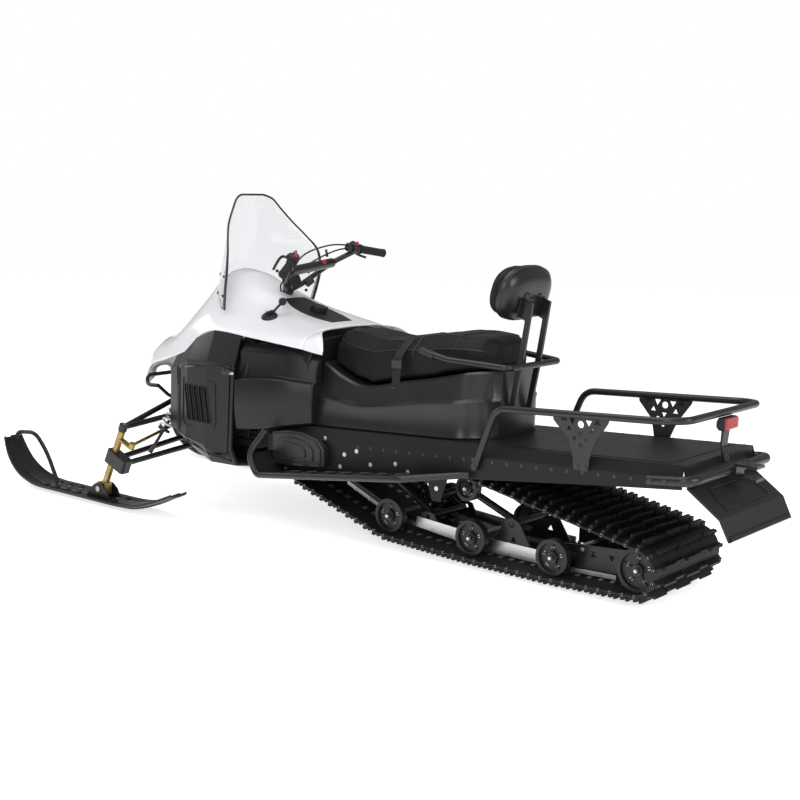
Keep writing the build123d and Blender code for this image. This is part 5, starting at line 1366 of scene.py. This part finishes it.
# Painted reflection: bright cell centres in the base colour stand in for the reflector's glints.
lamp_glass.feed("Base Color", lamp_glass.ramp(lamp_glass.cells(90.0), (0.0, (0.82, 0.84, 0.86)),
                                              (0.4, (0.35, 0.36, 0.38)), (1.0, (0.12, 0.12, 0.13))))
lamp_glass.bump(lamp_glass.cells(160.0), 0.4, 0.0015)
lamp_middle, lamp_side, lamp_length = 2648, 92, 46
lamp_rows, lamp_rims = [], []
for sign in (1, -1):
    ring = []
    for k in range(24):
        turn = 2 * pi * k / 24
        d = lamp_middle + lamp_length * cos(turn)
        y = lamp_side + 40 * sin(turn) - 0.18 * lamp_length * cos(turn)
        ring.append(on_skin(hood_points, hood_faces, d, sign * y))
    hub, hub_way = on_skin(hood_points, hood_faces, lamp_middle, sign * lamp_side)
    outer = [hit + normal * 0.002 for hit, normal in ring]
    inner = [hub.lerp(hit, 0.55) + hub_way * 0.009 for hit, normal in ring]
    low = [hit - normal * 0.004 for hit, normal in ring]
    lamp_rows.append(lofted([low, outer, inner, [hub + hub_way * 0.010 + (p - hub) * 0.1 for p in inner]]))
    lamp_rims.append(tube(outer + [outer[0]], 4.5, 8))
piece("headlamp_lenses", lamp_glass, "chassis", lamp_rows)
piece("headlamp_rims", black_mould, "chassis", lamp_rims)

# Handlebar: black tube with ridged rubber grips, switch blocks with red buttons, a brake lever, a
# thumb throttle, a round gauge, a folded boot at the stem, and cables clipped along the tube.
stem_tilt, parked_turn = radians(-33), radians(8)
bars_frame = (Matrix.Translation(at(2018, 0, 880)) @ Matrix.Rotation(stem_tilt, 4, "Y")
              @ Matrix.Rotation(parked_turn, 4, "Z"))


def bars(forward, left, up):
    """Point given in millimetres along the turned and tilted bars."""
    return bars_frame @ Vector((forward / 1000, left / 1000, up / 1000))


black_tube.coat("handlebar")
grip_rubber = Finish("grip_rubber", (0.009, 0.009, 0.0093), 0.6, Specular_IOR_Level=0.3)
grip_rubber.bump(grip_rubber.cells(520.0), 0.3, 0.0006)
grip_parts, control_parts, red_parts, lever_parts = [], [], [], []
for sign in (1, -1):
    inner, outer = bars(-70, sign * 247, 290), bars(-124, sign * 372, 290)
    profile = [(0, 15.5), (0.02, 21), (0.06, 21), (0.065, 16.2)]
    for k in range(16):
        share = 0.08 + k * 0.055
        profile += [(share, 15.6), (share + 0.012, 17.0), (share + 0.036, 17.0), (share + 0.046, 15.6)]
    profile += [(0.975, 15.8), (0.98, 18.5), (1.0, 17.5)]
    grip_parts.append(turned(inner, outer, profile, 24))
    way = (outer - inner).normalized()
    block = inner - way * 0.004
    control_parts.append(turned(block, block - way * 0.036, ((0, 19), (0.1, 22), (0.9, 22), (1, 18)), 18))
    control_parts.append(turned(block - way * 0.042, block - way * 0.062,
                                ((0, 15), (0.15, 18), (0.85, 18), (1, 15)), 18))
    control_parts.append(turned(block - way * 0.018, block - way * 0.018 + bars(30, 0, 8) - bars(0, 0, 0),
                                ((0, 17), (0.8, 17), (1, 13)), 14))
    up_way = bars(0, 0, 1000) - bars(0, 0, 0)
    red_parts.append(turned(block - way * 0.02 + up_way * 0.020, block - way * 0.02 + up_way * 0.031,
                            ((0, 9), (0.6, 9), (1, 6)), 16))
brake = smooth_line([bars(-58, 232, 290), bars(-30, 246, 289), bars(-28, 268, 287), bars(-50, 318, 284),
                     bars(-78, 372, 282)], 6)
lever_parts.append(tube(brake, 5.5, 10))
thumb = smooth_line([bars(-60, -236, 272), bars(-74, -256, 262), bars(-100, -284, 262)], 5)
lever_parts.append(tube(thumb, 5.5, 10))
cluster = bars(18, 0, 96)
cluster_way = (bars(-60, 0, 190) - bars(0, 0, 100)).normalized()
control_parts.append(turned(cluster - cluster_way * 0.02, cluster + cluster_way * 0.02,
                            ((0, 36), (0.2, 44), (0.9, 44), (1, 40)), 26))
control_parts.append(turned(bars(0, 0, -36), bars(0, 0, 22),
                            ((0, 46), (0.14, 40), (0.2, 44), (0.34, 34), (0.4, 38), (0.54, 28), (0.6, 32),
                             (0.76, 24), (1, 20)), 24))
for sign in (1, -1):
    control_parts.append(turned(bars(-20, sign * 62, 96), bars(-22, sign * 88, 118), ((0, 17), (1, 17)), 16))
piece("grip_sleeves", grip_rubber, "steering_bars", grip_parts, ("handlebar_grips",))
piece("bar_controls", console_finish, "steering_bars", control_parts, edge=0.0008)
piece("bar_levers", black_tube, "steering_bars", lever_parts)
switch_red = Finish("switch_red", (0.4, 0.006, 0.008), 0.35)
switch_red.bump(switch_red.noise(200.0), 0.05, 0.0004)
red_parts.append(turned(bars(-36, -70, 214), bars(-42, -72, 232), ((0, 10), (0.6, 10), (1, 7)), 16))
piece("switch_buttons", switch_red, "steering_bars", red_parts)
cables = []
for points in (
    [bars(-52, 206, 288), bars(-20, 150, 262), bars(20, 84, 190), bars(34, 40, 120), bars(22, 24, 60),
     bars(8, 14, 24)],
    [bars(-48, 200, 300), bars(-4, 130, 282), bars(40, 60, 214), bars(46, 20, 130), bars(26, 10, 64),
     bars(10, 6, 24)],
    [bars(-52, -206, 288), bars(-22, -150, 258), bars(14, -92, 186), bars(30, -46, 116), bars(20, -26, 58),
     bars(8, -14, 24)],
    [bars(-48, -200, 300), bars(-2, -120, 276), bars(44, -50, 206), bars(44, -16, 124), bars(24, -8, 60),
     bars(10, -4, 24)],
    [bars(18, 30, 110), bars(34, 34, 70), bars(24, 22, 36), bars(12, 12, 20)],
):
    cables.append(tube(smooth_line(points, 8), 3.4, 8))
ties = [turned(bars(-4, sign * 118, 236), bars(-10, sign * 124, 242), ((0, 16), (1, 16)), 14)
        for sign in (1, -1)]
piece("bar_cables", bead_rubber, "steering_bars", cables + ties)

# Rear bumper and hitch: hexagon bolts with washers, two at each end of the bumper's tube and two
# through the hitch's plates.
rear_bolts = [(at(d, sign * 322.5, 468 + (110 - d) * 0.11), (0, sign, 0)) for sign in (1, -1)
              for d in (94, 40)]
rear_bolts += [(at(-96, y, 520.5), (0, 0, 1)) for y in (-20, 20)]
studs("bumper_bolts", black_zinc, "chassis", rear_bolts, 6.0, 5.0)
